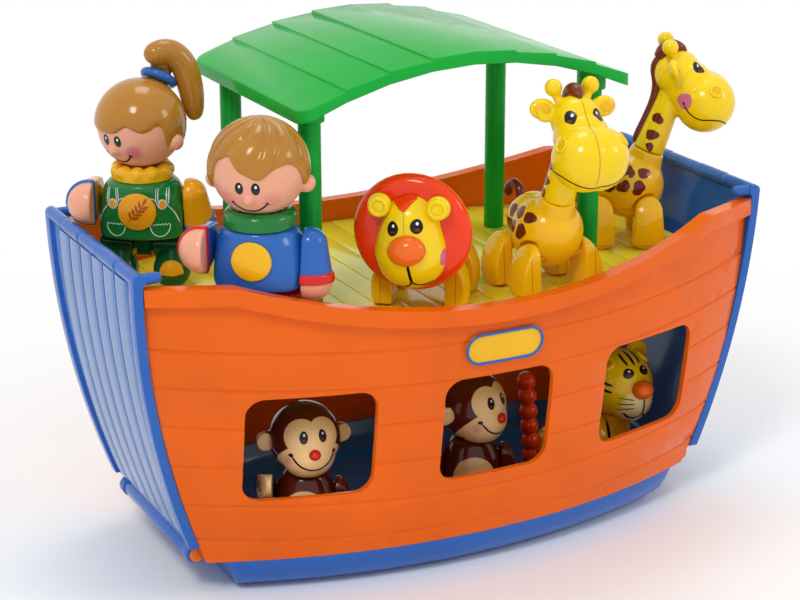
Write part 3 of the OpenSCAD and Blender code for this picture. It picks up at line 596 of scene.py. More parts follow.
    @staticmethod
    def carve(obj: bpy.types.Object, tool: bpy.types.Object) -> bpy.types.Object:
        """Cuts a tool out of a solid.

        Args:
            obj: closed mesh.
            tool: closed mesh to cut with, removed here.

        Returns:
            The carved object.
        """
        cut = obj.modifiers.new("carve", "BOOLEAN")
        cut.operation = "DIFFERENCE"
        cut.solver = "EXACT"
        cut.object = tool
        out = Shaper.settle(obj)
        bpy.data.objects.remove(tool)
        return out

    @staticmethod
    def ball(name: str, frame_at: Matrix, radii: Spot, rows: int = 24) -> bpy.types.Object:
        """Makes an ellipsoid.

        Args:
            name: name of the piece.
            frame_at: place of its middle, from mm to metres.
            radii: half sizes along the frame's axes in mm.
            rows: rows from pole to pole.

        Returns:
            The smooth ellipsoid.
        """
        work = bmesh.new()
        bmesh.ops.create_uvsphere(work, u_segments=2 * rows, v_segments=rows, radius=1.0)
        work.transform(frame_at @ Matrix.Diagonal((*radii, 1.0)))
        bmesh.ops.recalc_face_normals(work, faces=work.faces)
        mesh = bpy.data.meshes.new(name)
        work.to_mesh(mesh)
        work.free()
        mesh.shade_smooth()
        return Shaper.link(name, mesh)

    @staticmethod
    def ring(name: str, frame_at: Matrix, radius: float, tube: float) -> bpy.types.Object:
        """Makes a ring about the third axis of a frame.

        Args:
            name: name of the piece.
            frame_at: place of its middle, from mm to metres.
            radius: radius of the ring in mm.
            tube: radius of its section in mm.

        Returns:
            The closed ring.
        """
        verts, faces = [], []
        turns, sides = 40, 14
        for i in range(turns):
            a = 2 * math.pi * i / turns
            for k in range(sides):
                b = 2 * math.pi * k / sides
                reach = radius + tube * math.cos(b)
                verts.append(
                    frame_at @ Vector((reach * math.cos(a), reach * math.sin(a), tube * math.sin(b))))
                faces.append((i * sides + k, (i + 1) % turns * sides + k,
                              (i + 1) % turns * sides + (k + 1) % sides, i * sides + (k + 1) % sides))
        return Shaper.solid(name, verts, faces)

    @staticmethod
    def loft(name: str, frame_at: Matrix, stations: list[tuple[float, float, float, float]],
             sides: int = 20) -> bpy.types.Object:
        """Makes a round limb through stations.

        Args:
            name: name of the piece.
            frame_at: frame of the stations, from mm to metres.
            stations: middle and radius at each station.
            sides: faces round the limb.

        Returns:
            The closed limb.
        """
        path = [Vector(station) for station in smooth(stations)]
        thinnest = 0.2
        verts, faces = [], []
        side = None
        for i, point in enumerate(path):
            way = (path[min(i + 1, len(path) - 1)] - path[max(i - 1, 0)]).to_3d().normalized()
            side = way.orthogonal() if side is None else (side - way * side.dot(way))
            side.normalize()
            other = way.cross(side)
            for k in range(sides):
                a = 2 * math.pi * k / sides
                out = side * math.cos(a) + other * math.sin(a)
                verts.append(frame_at @ (point.to_3d() + max(point[3], thinnest) * out))
            if i:
                for k in range(sides):
                    n = (k + 1) % sides
                    faces.append(((i - 1) * sides + k, (i - 1) * sides + n, i * sides + n, i * sides + k))
        faces.append(tuple(range(sides)))
        faces.append(tuple(range(len(verts) - sides, len(verts))))
        return Shaper.solid(name, verts, faces)


class Growth:
    """Geometry Nodes trees for what follows a path or repeats."""

    @staticmethod
    def _tree(name: str, inputs: dict[str, str]) -> tuple:
        """Starts a geometry tree with a geometry socket each way.

        Args:
            name: name of the tree.
            inputs: further named inputs and their socket types.

        Returns:
            The tree, its input node and its output node.
        """
        tree = bpy.data.node_groups.new(name, "GeometryNodeTree")
        tree.interface.new_socket("Geometry", in_out="INPUT", socket_type="NodeSocketGeometry")
        for label, kind in inputs.items():
            tree.interface.new_socket(label, in_out="INPUT", socket_type=kind)
        tree.interface.new_socket("Geometry", in_out="OUTPUT", socket_type="NodeSocketGeometry")
        return tree, tree.nodes.new("NodeGroupInput"), tree.nodes.new("NodeGroupOutput")

    @staticmethod
    def _close(tree: bpy.types.NodeTree, last: bpy.types.NodeSocket, inp: bpy.types.Node,
               out: bpy.types.Node) -> None:
        """Ends a tree with Realize Instances and Set Material.

        Args:
            tree: the tree.
            last: geometry to end with.
            inp: input node, which holds the material.
            out: output node.
        """
        real = tree.nodes.new("GeometryNodeRealizeInstances")
        paint = tree.nodes.new("GeometryNodeSetMaterial")
        tree.links.new(last, real.inputs[0])
        tree.links.new(real.outputs[0], paint.inputs["Geometry"])
        tree.links.new(inp.outputs["Material"], paint.inputs["Material"])
        tree.links.new(paint.outputs[0], out.inputs[0])

    @staticmethod
    def tube() -> bpy.types.NodeTree:
        """Tree that sweeps a round section along a path.

        Returns:
            The tree, made once.
        """
        made = bpy.data.node_groups.get("tube_on_path")
        if made:
            return made
        tree, inp, out = Growth._tree(
            "tube_on_path", {"Radius": "NodeSocketFloat", "Sides": "NodeSocketInt",
                             "Material": "NodeSocketMaterial"})
        profile = tree.nodes.new("GeometryNodeCurvePrimitiveCircle")
        tree.links.new(inp.outputs["Radius"], profile.inputs["Radius"])
        tree.links.new(inp.outputs["Sides"], profile.inputs["Resolution"])
        sweep = tree.nodes.new("GeometryNodeCurveToMesh")
        sweep.inputs["Fill Caps"].default_value = True
        tree.links.new(inp.outputs["Geometry"], sweep.inputs["Curve"])
        tree.links.new(profile.outputs["Curve"], sweep.inputs["Profile Curve"])
        Growth._close(tree, sweep.outputs["Mesh"], inp, out)
        return tree

    @staticmethod
    def stitches() -> bpy.types.NodeTree:
        """Tree that lays short round stitches along a path.

        Returns:
            The tree, made once.
        """
        made = bpy.data.node_groups.get("stitches_on_path")
        if made:
            return made
        tree, inp, out = Growth._tree(
            "stitches_on_path", {"Step": "NodeSocketFloat", "Size": "NodeSocketVector",
                                 "Material": "NodeSocketMaterial"})
        spread = tree.nodes.new("GeometryNodeResampleCurve")
        spread.mode = "LENGTH"
        tree.links.new(inp.outputs["Geometry"], spread.inputs["Curve"])
        tree.links.new(inp.outputs["Step"], spread.inputs["Length"])
        bead = tree.nodes.new("GeometryNodeMeshUVSphere")
        bead.inputs["Segments"].default_value = 10
        bead.inputs["Rings"].default_value = 6
        bead.inputs["Radius"].default_value = 1.0
        tangent = tree.nodes.new("GeometryNodeInputTangent")
        turn = tree.nodes.new("FunctionNodeAlignRotationToVector")
        turn.axis = "X"
        tree.links.new(tangent.outputs[0], turn.inputs["Vector"])
        stamp = tree.nodes.new("GeometryNodeInstanceOnPoints")
        tree.links.new(spread.outputs["Curve"], stamp.inputs["Points"])
        tree.links.new(bead.outputs["Mesh"], stamp.inputs["Instance"])
        tree.links.new(turn.outputs["Rotation"], stamp.inputs["Rotation"])
        tree.links.new(inp.outputs["Size"], stamp.inputs["Scale"])
        Growth._close(tree, stamp.outputs["Instances"], inp, out)
        return tree

    @staticmethod
    def row() -> bpy.types.NodeTree:
        """Tree that sets blocks in a row along the first axis.

        Returns:
            The tree, made once.
        """
        made = bpy.data.node_groups.get("blocks_in_row")
        if made:
            return made
        tree, inp, out = Growth._tree(
            "blocks_in_row",
            {"Count": "NodeSocketInt", "Start": "NodeSocketVector", "Step": "NodeSocketVector",
             "Size": "NodeSocketVector", "Material": "NodeSocketMaterial"})
        line = tree.nodes.new("GeometryNodeMeshLine")
        for label, socket in (("Count", "Count"), ("Start", "Start Location"), ("Step", "Offset")):
            tree.links.new(inp.outputs[label], line.inputs[socket])
        block = tree.nodes.new("GeometryNodeMeshCube")
        tree.links.new(inp.outputs["Size"], block.inputs["Size"])
        stamp = tree.nodes.new("GeometryNodeInstanceOnPoints")
        tree.links.new(line.outputs["Mesh"], stamp.inputs["Points"])
        tree.links.new(block.outputs["Mesh"], stamp.inputs["Instance"])
        Growth._close(tree, stamp.outputs["Instances"], inp, out)
        return tree

    @staticmethod
    def path(name: str, lines: list[list[Vector]], loop: bool = False) -> bpy.types.Object:
        """Makes a curve object through points in metres.

        Args:
            name: name of the curve.
            lines: points of each line.
            loop: whether the lines close on themselves.

        Returns:
            The curve object.
        """
        data = bpy.data.curves.new(name, "CURVE")
        data.dimensions = "3D"
        for line in lines:
            spline = data.splines.new("POLY")
            spline.points.add(len(line) - 1)
            for slot, point in zip(spline.points, line):
                slot.co = (*point, 1.0)
            spline.use_cyclic_u = loop
        obj = bpy.data.objects.new(name, data)
        bpy.context.scene.collection.objects.link(obj)
        return obj

    @staticmethod
    def grow(obj: bpy.types.Object, tree: bpy.types.NodeTree, values: dict) -> bpy.types.Object:
        """Runs a tree on an object and keeps the mesh.

        Args:
            obj: curve or mesh object that the tree starts from.
            tree: the geometry tree.
            values: values of its named inputs.

        Returns:
            One plain mesh object.
        """
        step = obj.modifiers.new("grow", "NODES")
        step.node_group = tree
        for item in tree.interface.items_tree:
            if item.item_type == "SOCKET" and item.in_out == "INPUT" and item.name in values:
                step[item.identifier] = values[item.name]
        out = Shaper.settle(obj)
        out.data.shade_smooth()
        return out

    @staticmethod
    def sweep(name: str, lines: list[list[Vector]], radius: float, finish: Finish, loop: bool = False,
              sides: int = 12) -> bpy.types.Object:
        """Sweeps a tube along lines.

        Args:
            name: name of the piece.
            lines: points of each line in metres.
            radius: radius of the tube in mm.
            finish: its finish.
            loop: whether the lines close on themselves.
            sides: faces round the tube.

        Returns:
            The closed tube.
        """
        values = {"Radius": radius * MM, "Sides": sides, "Material": finish.material()}
        return Growth.grow(Growth.path(name, lines, loop), Growth.tube(), values)

    @staticmethod
    def blocks(name: str, count: int, start: Spot, step: Spot, size: Spot,
               finish: Finish) -> bpy.types.Object:
        """Sets a row of blocks, all sizes in mm.

        Args:
            name: name of the piece.
            count: number of blocks.
            start: middle of the first block.
            step: way from one block to the next.
            size: size of a block.
            finish: their finish.

        Returns:
            The row as one mesh.
        """
        seed = Shaper.link(name, bpy.data.meshes.new(name))
        values = {"Count": count, "Start": tuple(c * MM for c in start), "Step": tuple(c * MM for c in step),
                  "Size": tuple(c * MM for c in size), "Material": finish.material()}
        return Growth.grow(seed, Growth.row(), values)


@dataclass(frozen=True)
class Stretch:
    """A stretch of an arm, counted from the shoulder in mm, with a finish of its own."""

    label: str
    near: float
    far: float
    swell: float
    finish: Finish


class Toy:
    """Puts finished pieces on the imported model."""

    @staticmethod
    def fit(obj: bpy.types.Object, finish: Finish, body: str,
            stands_for: tuple[str, ...] = ()) -> bpy.types.Object:
        """Paints a piece and lets it ride on a body.

        Args:
            obj: the piece, in place.
            finish: its finish.
            body: body it moves with.
            stands_for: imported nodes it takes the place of.

        Returns:
            The piece.
        """
        obj.data.materials.clear()
        obj.data.materials.append(finish.material())
        if stands_for:
            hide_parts(*stands_for)
        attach(obj, body)
        log.info("%s on %s, %d faces", obj.name, body, len(obj.data.polygons))
        return obj

    @staticmethod
    def soft(node: str, finish: Finish, grain: float = 0.8, rounds: int = 6) -> bpy.types.Object:
        """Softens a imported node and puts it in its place.

        Args:
            node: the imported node.
            finish: finish of the new piece.
            grain: size of the new faces in mm.
            rounds: how often the surface is relaxed.

        Returns:
            The piece.
        """
        melted = Shaper.soften(Shaper.copy(node, node + "_moulded"), grain, rounds)
        return Toy.fit(melted, finish, BODY_OF[node], (node,))

    @staticmethod
    def eased(node: str, finish: Finish, width: float, angle: float = 40.0) -> bpy.types.Object:
        """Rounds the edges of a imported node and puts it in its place."""
        return Toy.fit(Shaper.ease(Shaper.copy(node, node + "_eased"), width, angle), finish, BODY_OF[node],
                       (node,))


    @staticmethod
    def arm(node: str, base: Matrix, s: int, stretches: tuple[Stretch, ...]) -> None:
        """Builds an arm of stretches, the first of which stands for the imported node.

        Args:
            node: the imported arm.
            base: frame of the shoulder, its third axis up along the arm.
            s: 1 for the left arm, -1 for the right.
            stretches: stretches from the shoulder down.
        """
        start = base @ Vector((0, 0, 0))
        way = (base.to_3x3() @ Vector((0, 0, -1))).normalized()
        whole = Shaper.copy(node, node + "_whole")
        for one in stretches:
            piece = Shaper.slab(whole, f"{node}_{one.label}", start, way, one.near, one.far, one.swell)
            if one.swell > 0:
                plain = Shaper.slab(whole, node + "_plain", start, way, one.near, one.far)
                piece = Shaper.flush(piece, plain, base, s)
            stands_for = (node,) if one is stretches[0] else ()
            Toy.fit(Shaper.soften(piece, 0.6, 5), one.finish, node, stands_for)
        bpy.data.objects.remove(whole)


class Skin:
    """Surface of a finished piece, for laying paint on."""

    def __init__(self, piece: bpy.types.Object) -> None:
        """Reads a surface.

        Args:
            piece: the finished piece, which sits at the origin.
        """
        verts = [vert.co.copy() for vert in piece.data.vertices]
        faces = [tuple(face.vertices) for face in piece.data.polygons]
        self.tree = BVHTree.FromPolygons(verts, faces)

    def drop(self, view: Matrix, u: float, v: float, reach: float = 80.0) -> tuple[Vector, Vector]:
        """Drops a point of a view onto the surface.

        Args:
            view: frame that looks at the surface against its third axis, from mm to metres.
            u: place along the first axis in mm.
            v: place along the second axis in mm.
            reach: height above the view's middle that the point drops from, in mm.

        Returns:
            The point and the surface's normal there.
        """
        way = -(view.to_3x3() @ Vector((0.0, 0.0, 1.0))).normalized()
        hit, normal, _, _ = self.tree.ray_cast(view @ Vector((u, v, reach)), way)
        if hit is None:
            hit, normal, _, _ = self.tree.find_nearest(view @ Vector((u, v, 0.0)))
        return hit, normal if normal.dot(way) < 0 else -normal

    def near(self, point: Vector) -> tuple[Vector, Vector]:
        """Nearest point of the surface, and the normal there."""
        hit, normal, _, _ = self.tree.find_nearest(point)
        return hit, normal

    def seat(self, part: Matrix, spot: Spot) -> Matrix:
        """Frame on the surface, with its third axis along the normal and its second upwards.

        Args:
            part: frame the spot is given in.
            spot: a point near the surface in mm.

        Returns:
            The frame, from mm to metres.
        """
        point, normal = self.near(part @ Vector(spot))
        side = Vector((0, 0, 1)).cross(normal).normalized()
        turn = Matrix((side, normal.cross(side), normal)).transposed().to_4x4()
        return Matrix.Translation(point) @ turn @ Matrix.Scale(MM, 4)


@dataclass
class Paint:
    """Thin sheets of one colour laid on pieces of one body."""

    name: str
    finish: Finish
    body: str
    lift: float = 0.16
    sink: float = 0.35
    reach: float = 80.0
    verts: list[Vector] = field(default_factory=list)
    faces: list[tuple[int, ...]] = field(default_factory=list)

    def _add(self, rows: list[list[tuple[Vector, Vector]]], loop: bool) -> None:
        """Adds a closed thin slab over rows of surface points.

        Args:
            rows: rows of points and normals, all the same length.
            loop: whether each row closes on itself, about the first row as its middle.
        """
        tops, lows = [], []
        for row in rows:
            tops.append([])
            lows.append([])
            for point, normal in row:
                tops[-1].append(len(self.verts))
                self.verts.append(point + normal * self.lift * MM)
                lows[-1].append(len(self.verts))
                self.verts.append(point - normal * self.sink * MM)
        width = len(rows[0])
        for i in range(len(rows) - 1):
            for k in range(width if loop else width - 1):
                n = (k + 1) % width
                self.faces.append((tops[i][k], tops[i][n], tops[i + 1][n], tops[i + 1][k]))
                self.faces.append((lows[i][k], lows[i + 1][k], lows[i + 1][n], lows[i][n]))
        last, side = len(rows) - 1, width - 1
        edge = [(last, k) for k in range(width)]
        if not loop:
            edge = [(0, k) for k in range(width)] + [(i, side) for i in range(1, last + 1)]
            edge += [(last, k) for k in range(side - 1, -1, -1)] + [(i, 0) for i in range(last - 1, 0, -1)]
        for (i, k), (j, n) in zip(edge, edge[1:] + edge[:1]):
            self.faces.append((tops[i][k], tops[j][n], lows[j][n], lows[i][k]))

    def patch(self, skin: Skin, view: Matrix, outline: list[Flat], rings: int = 5) -> None:
        """Fills a rounded outline.

        Args:
            skin: surface to paint.
            view: frame of the outline.
            outline: points about a middle that sees them all.
            rings: rings from the middle to the outline.
        """
        cu = sum(p[0] for p in outline) / len(outline)
        cv = sum(p[1] for p in outline) / len(outline)
        rows = []
        for s in (0.02, *range(1, rings + 1)):
            rows.append([skin.drop(view, cu + (u - cu) * s / rings, cv + (v - cv) * s / rings, self.reach)
                         for u, v in outline])
        self._add(rows, True)

    def oval(self, skin: Skin, view: Matrix, at: Flat, half: Flat, tilt: float = 0.0,
             drop: float = 0.0) -> None:
        """Fills an oval, drawn out to one end like a drop.

        Args:
            skin: surface to paint.
            view: frame of the oval.
            at: its middle in mm.
            half: its half width and half height in mm.
            tilt: turn in degrees.
            drop: how much narrower its top is, from 0 to 1.
        """
        c, s = math.cos(math.radians(tilt)), math.sin(math.radians(tilt))
        outline = []
        for k in range(36):
            a = 2 * math.pi * k / 36
            u, v = half[0] * math.cos(a) * (1 - drop * max(0.0, math.sin(a))), half[1] * math.sin(a)
            outline.append((at[0] + u * c - v * s, at[1] + u * s + v * c))
        self.patch(skin, view, outline)

    def stroke(self, skin: Skin, view: Matrix, path: list[Flat], width: float, taper: float = 0.5) -> None:
        """Draws a line with rounded ends through points.

        Args:
            skin: surface to paint.
            view: frame of the line.
            path: points of the line in mm.
            width: its width in mm.
            taper: width at its ends against its middle.
        """
        points = smooth(path)
        rows = []
        for i, (u, v) in enumerate(points):
            before, after = points[max(i - 1, 0)], points[min(i + 1, len(points) - 1)]
            du, dv = after[0] - before[0], after[1] - before[1]
            size = math.hypot(du, dv) or 1.0
            end = min(i, len(points) - 1 - i)
            half = 0.5 * width * (taper + (1 - taper) * min(1.0, end / 4))
            rows.append([skin.drop(view, u - dv / size * half * s, v + du / size * half * s, self.reach)
                         for s in (-1, 0, 1)])
        self._add(rows, False)

    def trail(self, skin: Skin, part: Matrix, path: list[Spot], width: float, taper: float = 0.5) -> None:
        """Draws a line that wraps round the surface near points of a part.

        Args:
            skin: surface to paint.
            part: frame of the points.
            path: points near the surface in mm.
            width: width of the line in mm.
            taper: width at its ends against its middle.
        """
        line = [skin.near(part @ Vector(p)) for p in smooth(path)]
        rows = []
        for i, (point, normal) in enumerate(line):
            way = line[min(i + 1, len(line) - 1)][0] - line[max(i - 1, 0)][0]
            side = normal.cross(way).normalized()
            end = min(i, len(line) - 1 - i)
            half = 0.5 * width * MM * (taper + (1 - taper) * min(1.0, end / 4))
            rows.append([skin.near(point + side * half * s) for s in (-1, 0, 1)])
        self._add(rows, False)

    def done(self) -> None:
        """Makes the sheets one piece and fits it."""
        if self.verts:
            Toy.fit(Shaper.solid(self.name, self.verts, self.faces), self.finish, self.body)


FORWARD_UP = Matrix(((1, 0, 0, 0), (0, 0, -1, 0), (0, 1, 0, 0), (0, 0, 0, 1)))


@dataclass
class Stand:
    """A figure's own frame: it looks along -Y, and +X is its left."""

    at: Spot
    turn: float

    def frame(self) -> Matrix:
        """Frame of the figure, from mm to metres."""
        return Matrix.Translation(Vector(self.at) * MM) @ Matrix.Rotation(math.radians(self.turn), 4, "Z") \
            @ Matrix.Scale(MM, 4)

    def part(self, shift: Spot, turn: float = 0.0) -> Matrix:
        """Frame of a part, moved and turned about the upright."""
        return self.frame() @ Matrix.Translation(shift) @ Matrix.Rotation(math.radians(turn), 4, "Z")


def look(part: Matrix, yaw: float = 0.0, pitch: float = 0.0) -> Matrix:
    """Frame that looks at a part from its front, or from a yaw to its left and a pitch above."""
    turned = part @ Matrix.Rotation(math.radians(yaw), 4, "Z")
    return turned @ Matrix.Rotation(math.radians(-pitch), 4, "X") @ FORWARD_UP


def blush(part: Matrix, spots: list[Spot], hue: Hue, size: float, edge: float,
          strength: float) -> tuple[Zone, ...]:
    """Soft coloured spots at points of a part, sizes in mm."""
    return tuple(Zone(ZoneKind.BALL, tuple(part @ Vector(spot)), hue, size * MM, edge * MM, strength=strength)
                 for spot in spots)


@dataclass
class Hull:
    """Orange sides, blue base, bare plate and hinge pins."""

    side_r: float = 399.0
    axis: float = 288.0
    flare_r: float = 558.0
    flare_top: float = 169.0
    end_x: float = 171.0
    groove: float = 1.0
    rise: float = 7.5
    grooves: tuple[float, ...] = (29.7, 51.3, 74.7, 97.7, 119.7, 140.4)
    groove_out: float = 0.35
    groove_reach: float = 198.0
    plate_z: float = 136.0
    plate: Flat = (46.0, 17.0)
    border_r: float = 0.8
    border_inset: float = 0.4

    def skin_y(self, x: float, z: float) -> float:
        """Distance of the outer face from the middle plane, in mm."""
        r = self.side_r - (self.flare_top - z) ** 2 / (2 * self.flare_r)
        return math.sqrt(r * r - x * x) - self.axis

    def groove_line(self, z: float, way: int) -> list[Vector]:
        """Line of one plank groove on the outer face.

        Args:
            z: height of the groove amidships in mm.
            way: -1 for the near side, 1 for the far side.

        Returns:
            Points in metres from bow to stern.
        """
        line, steps = [], 60
        for i in range(steps + 1):
            x = -self.groove_reach + 2 * self.groove_reach * i / steps
            height = z + self.rise * (x / self.end_x) ** 2
            line.append(Vector((x, way * (self.skin_y(x, height) + self.groove_out), height)) * MM)
        return line

    def side(self, node: str, way: int) -> None:
        """Carves the plank grooves in a side and rounds its edges.

        Args:
            node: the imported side.
            way: -1 for the near side, 1 for the far side.
        """
        panel = Shaper.copy(node, node + "_planked")
        tool = Growth.sweep(node + "_tool", [self.groove_line(z, way) for z in self.grooves], self.groove,
                            Coats.ORANGE, sides=10)
        Toy.fit(Shaper.ease(Shaper.carve(panel, tool), 0.7, 50.0), Coats.ORANGE, "hull", (node,))

    def build(self) -> None:
        """Builds and dresses the hull."""
        self.side("near_side", -1)
        self.side("far_side", 1)
        Toy.eased("base_tub", Coats.BLUE, 0.8)
        Toy.eased("ramp_hinge_pins", Coats.NOSE, 0.4)
        plate = Toy.eased("name_plate", Coats.BADGE, 0.5)
        edge, steps = [], 64
        half, r = (self.plate[0] - self.plate[1]) / 2, self.plate[1] / 2 - self.border_inset
        for i in range(steps):
            a = 2 * math.pi * i / steps
            edge.append((math.copysign(half, math.cos(a)) + r * math.cos(a), r * math.sin(a)))
        skin = Skin(plate)
        view = look(Matrix.Translation((0, 0, self.plate_z * MM)) @ Matrix.Scale(MM, 4))
        line = [p + n * 0.2 * MM for p, n in (skin.drop(view, u, v, 160.0) for u, v in edge)]
        border = Growth.sweep("name_plate_border", [line], self.border_r, Coats.BLUE, True)
        Toy.fit(border, Coats.BLUE, "hull")


@dataclass
class Ramp:
    """Blue end panel with slats in a paler blue that paints the glare on them, and a stepped top bar."""

    node: str
    end: int
    end_r: float = 450.0
    end_x: float = -265.0
    end_top: float = 190.0
    thick: float = 3.0
    low_half: float = 54.0
    slats: int = 6
    slat_foot: float = 36.0
    slat_rise: float = 0.75
    slat_sink: float = 0.6
    groove: float = 1.5
    bar_r: float = 3.4
    bar_half: float = 71.0
    segments: int = 5
    seam: float = 0.9

    def face_x(self, z: float, out: float) -> float:
        """Place of the panel's face along X at a height, in mm."""
        r = self.end_r + out
        return self.end * (self.end_x + math.sqrt(r * r - (self.end_top - z) ** 2))

    def slat(self, i: int) -> None:
        """Builds one slat as a thin curved strip, in the paler blue that paints its glare.

        Args:
            i: number of the slat across the panel.
        """
        pitch = 2 * self.low_half / self.slats
        low = -self.low_half + i * pitch + self.groove / 2
        high = low + pitch - self.groove
        verts, faces = [], []
        steps, sides = 30, 9
        for k in range(steps + 1):
            z = self.slat_foot + (self.end_top - 2 * self.bar_r - self.slat_foot - 1.0) * k / steps
            for s in range(sides + 1):
                t = s / sides
                swell = self.slat_rise * math.sqrt(max(0.0, 1 - (2 * t - 1) ** 6))
                out = self.thick + swell - 0.05
                verts.append(Vector((self.face_x(z, out), low + (high - low) * t, z)) * MM)
            for y in (high, low):
                verts.append(Vector((self.face_x(z, self.thick - self.slat_sink), y, z)) * MM)
        ring = sides + 3
        for k in range(steps):
            for s in range(ring):
                n = (s + 1) % ring
                faces.append((k * ring + s, k * ring + n, (k + 1) * ring + n, (k + 1) * ring + s))
        faces += [tuple(range(ring)), tuple(range(steps * ring, (steps + 1) * ring))]
        Toy.fit(Shaper.solid(f"{self.node}_slat_{i + 1}", verts, faces), Coats.SLAT, self.node)

    def bar(self) -> None:
        """Builds the rounded segments of the top bar."""
        z = self.end_top - self.bar_r
        x = self.face_x(z, self.thick / 2)
        pitch = 2 * self.bar_half / self.segments
        for i in range(self.segments):
            low, length = -self.bar_half + i * pitch + self.seam / 2, pitch - self.seam
            r = self.bar_r + (0.5 if i % 2 else 0.2)
            rounds = ((0, 0.1), (0.015, 0.75), (0.04, 0.95), (0.1, 1.0), (0.5, 1.0), (0.9, 1.0), (0.96, 0.95),
                      (0.985, 0.75), (1, 0.1))
            stations = [(x, low + t * length, z, r * share) for t, share in rounds]
            segment = Shaper.loft(f"{self.node}_bar_{i + 1}", Matrix.Scale(MM, 4), stations)
            Toy.fit(segment, Coats.BLUE, self.node)

    def build(self) -> None:
        """Builds and dresses the ramp."""
        Toy.eased(self.node, Coats.BLUE, 0.6)
        for i in range(self.slats):
            self.slat(i)
        self.bar()


@dataclass
class Topside:
    """Planked deck, shingled roof and its posts."""

    deck_top: float = 147.0
    pitch: float = 15.0
    groove: float = 0.9
    half: float = 172.5

    def build(self) -> None:
        """Builds and dresses the deck and the roof."""
        count = int(2 * self.half / self.pitch)
        start = (-self.pitch * (count - 1) / 2, 0.0, self.deck_top)
        size = (self.groove, 260.0, 1.6)
        tool = Growth.blocks("deck_tool", count, start, (self.pitch, 0, 0), size, Coats.DECK)
        deck = Shaper.ease(Shaper.carve(Shaper.copy("deck", "deck_planked"), tool), 0.35, 50.0)
        Toy.fit(deck, Coats.DECK, "deck", ("deck",))
        Toy.eased("roof_panel", Coats.GREEN, 0.55, 8.0)
        Toy.eased("roof_posts", Coats.GREEN, 0.5)


@dataclass
class HairCap:
    """Cap of hair over a round head, with its edge drawn as angles from the crown."""

    radius: float
    edge: tuple[Flat, ...]
    thick: float = 1.5
    strands: int = 0
    sweep: float = 0.0
    depth: float = 0.6

    def edge_at(self, turn: float) -> float:
        """Finds the hair's edge on a smooth line through its marks.

        Args:
            turn: turn from the front in degrees.

        Returns:
            The edge's angle from the crown in degrees.
        """
        count = len(self.edge)
        marks = [(self.edge[k % count][0] + 360.0 * (k // count), self.edge[k % count][1])
                 for k in range(-1, count + 2)]
        turn = (turn - self.edge[0][0]) % 360.0 + self.edge[0][0]
        for before, (a, low), (b, high), after in zip(marks, marks[1:], marks[2:], marks[3:]):
            if a <= turn <= b:
                t = (turn - a) / (b - a)
                rise = (high - before[1]) / (b - before[0]) * (b - a)
                fall = (after[1] - low) / (after[0] - a) * (b - a)
                return low * (1 + 2 * t) * (1 - t) ** 2 + rise * t * (1 - t) ** 2 \
                    + high * t * t * (3 - 2 * t) + fall * t * t * (t - 1)
        return self.edge[0][1]

    def build(self, name: str, part: Matrix) -> bpy.types.Object:
        """Makes the cap.

        Args:
            name: name of the piece.
            part: frame of the head.

        Returns:
            The closed cap.
        """
        turns, rows = 180, 40
        verts, faces = [], []
        for layer in (0, 1):
            for j in range(rows + 1):
                for i in range(turns):
                    turn = 360.0 * i / turns
                    t = j / rows
                    fall = math.radians(max(self.edge_at(turn) * t, 0.2))
                    body = math.sqrt(max(0.0, 1 - max(0.0, (t - 0.9) / 0.1) ** 2))
                    wave = 0.5 + 0.5 * math.cos(math.radians(self.strands * (turn + self.sweep * t)))
                    lift = 0.1 + (self.thick * (1 - self.depth * (1 - wave) ** 3 * min(1.0, 3 * t))) * body
                    r = self.radius + (lift if layer == 0 else -0.5)
                    a = math.radians(turn)
                    out = r * math.sin(fall)
                    verts.append(part @ Vector((out * math.sin(a), -out * math.cos(a), r * math.cos(fall))))
        size = (rows + 1) * turns
        for layer in (0, 1):
            for j in range(rows):
                for i in range(turns):
                    n = (i + 1) % turns
                    a, b = layer * size + j * turns, layer * size + (j + 1) * turns
                    faces.append((a + i, a + n, b + n, b + i))
            faces.append(tuple(layer * size + i for i in range(turns)))
        for i in range(turns):
            n = (i + 1) % turns
            a, b = rows * turns, size + rows * turns
            faces.append((a + i, a + n, b + n, b + i))
        return Shaper.solid(name, verts, faces)


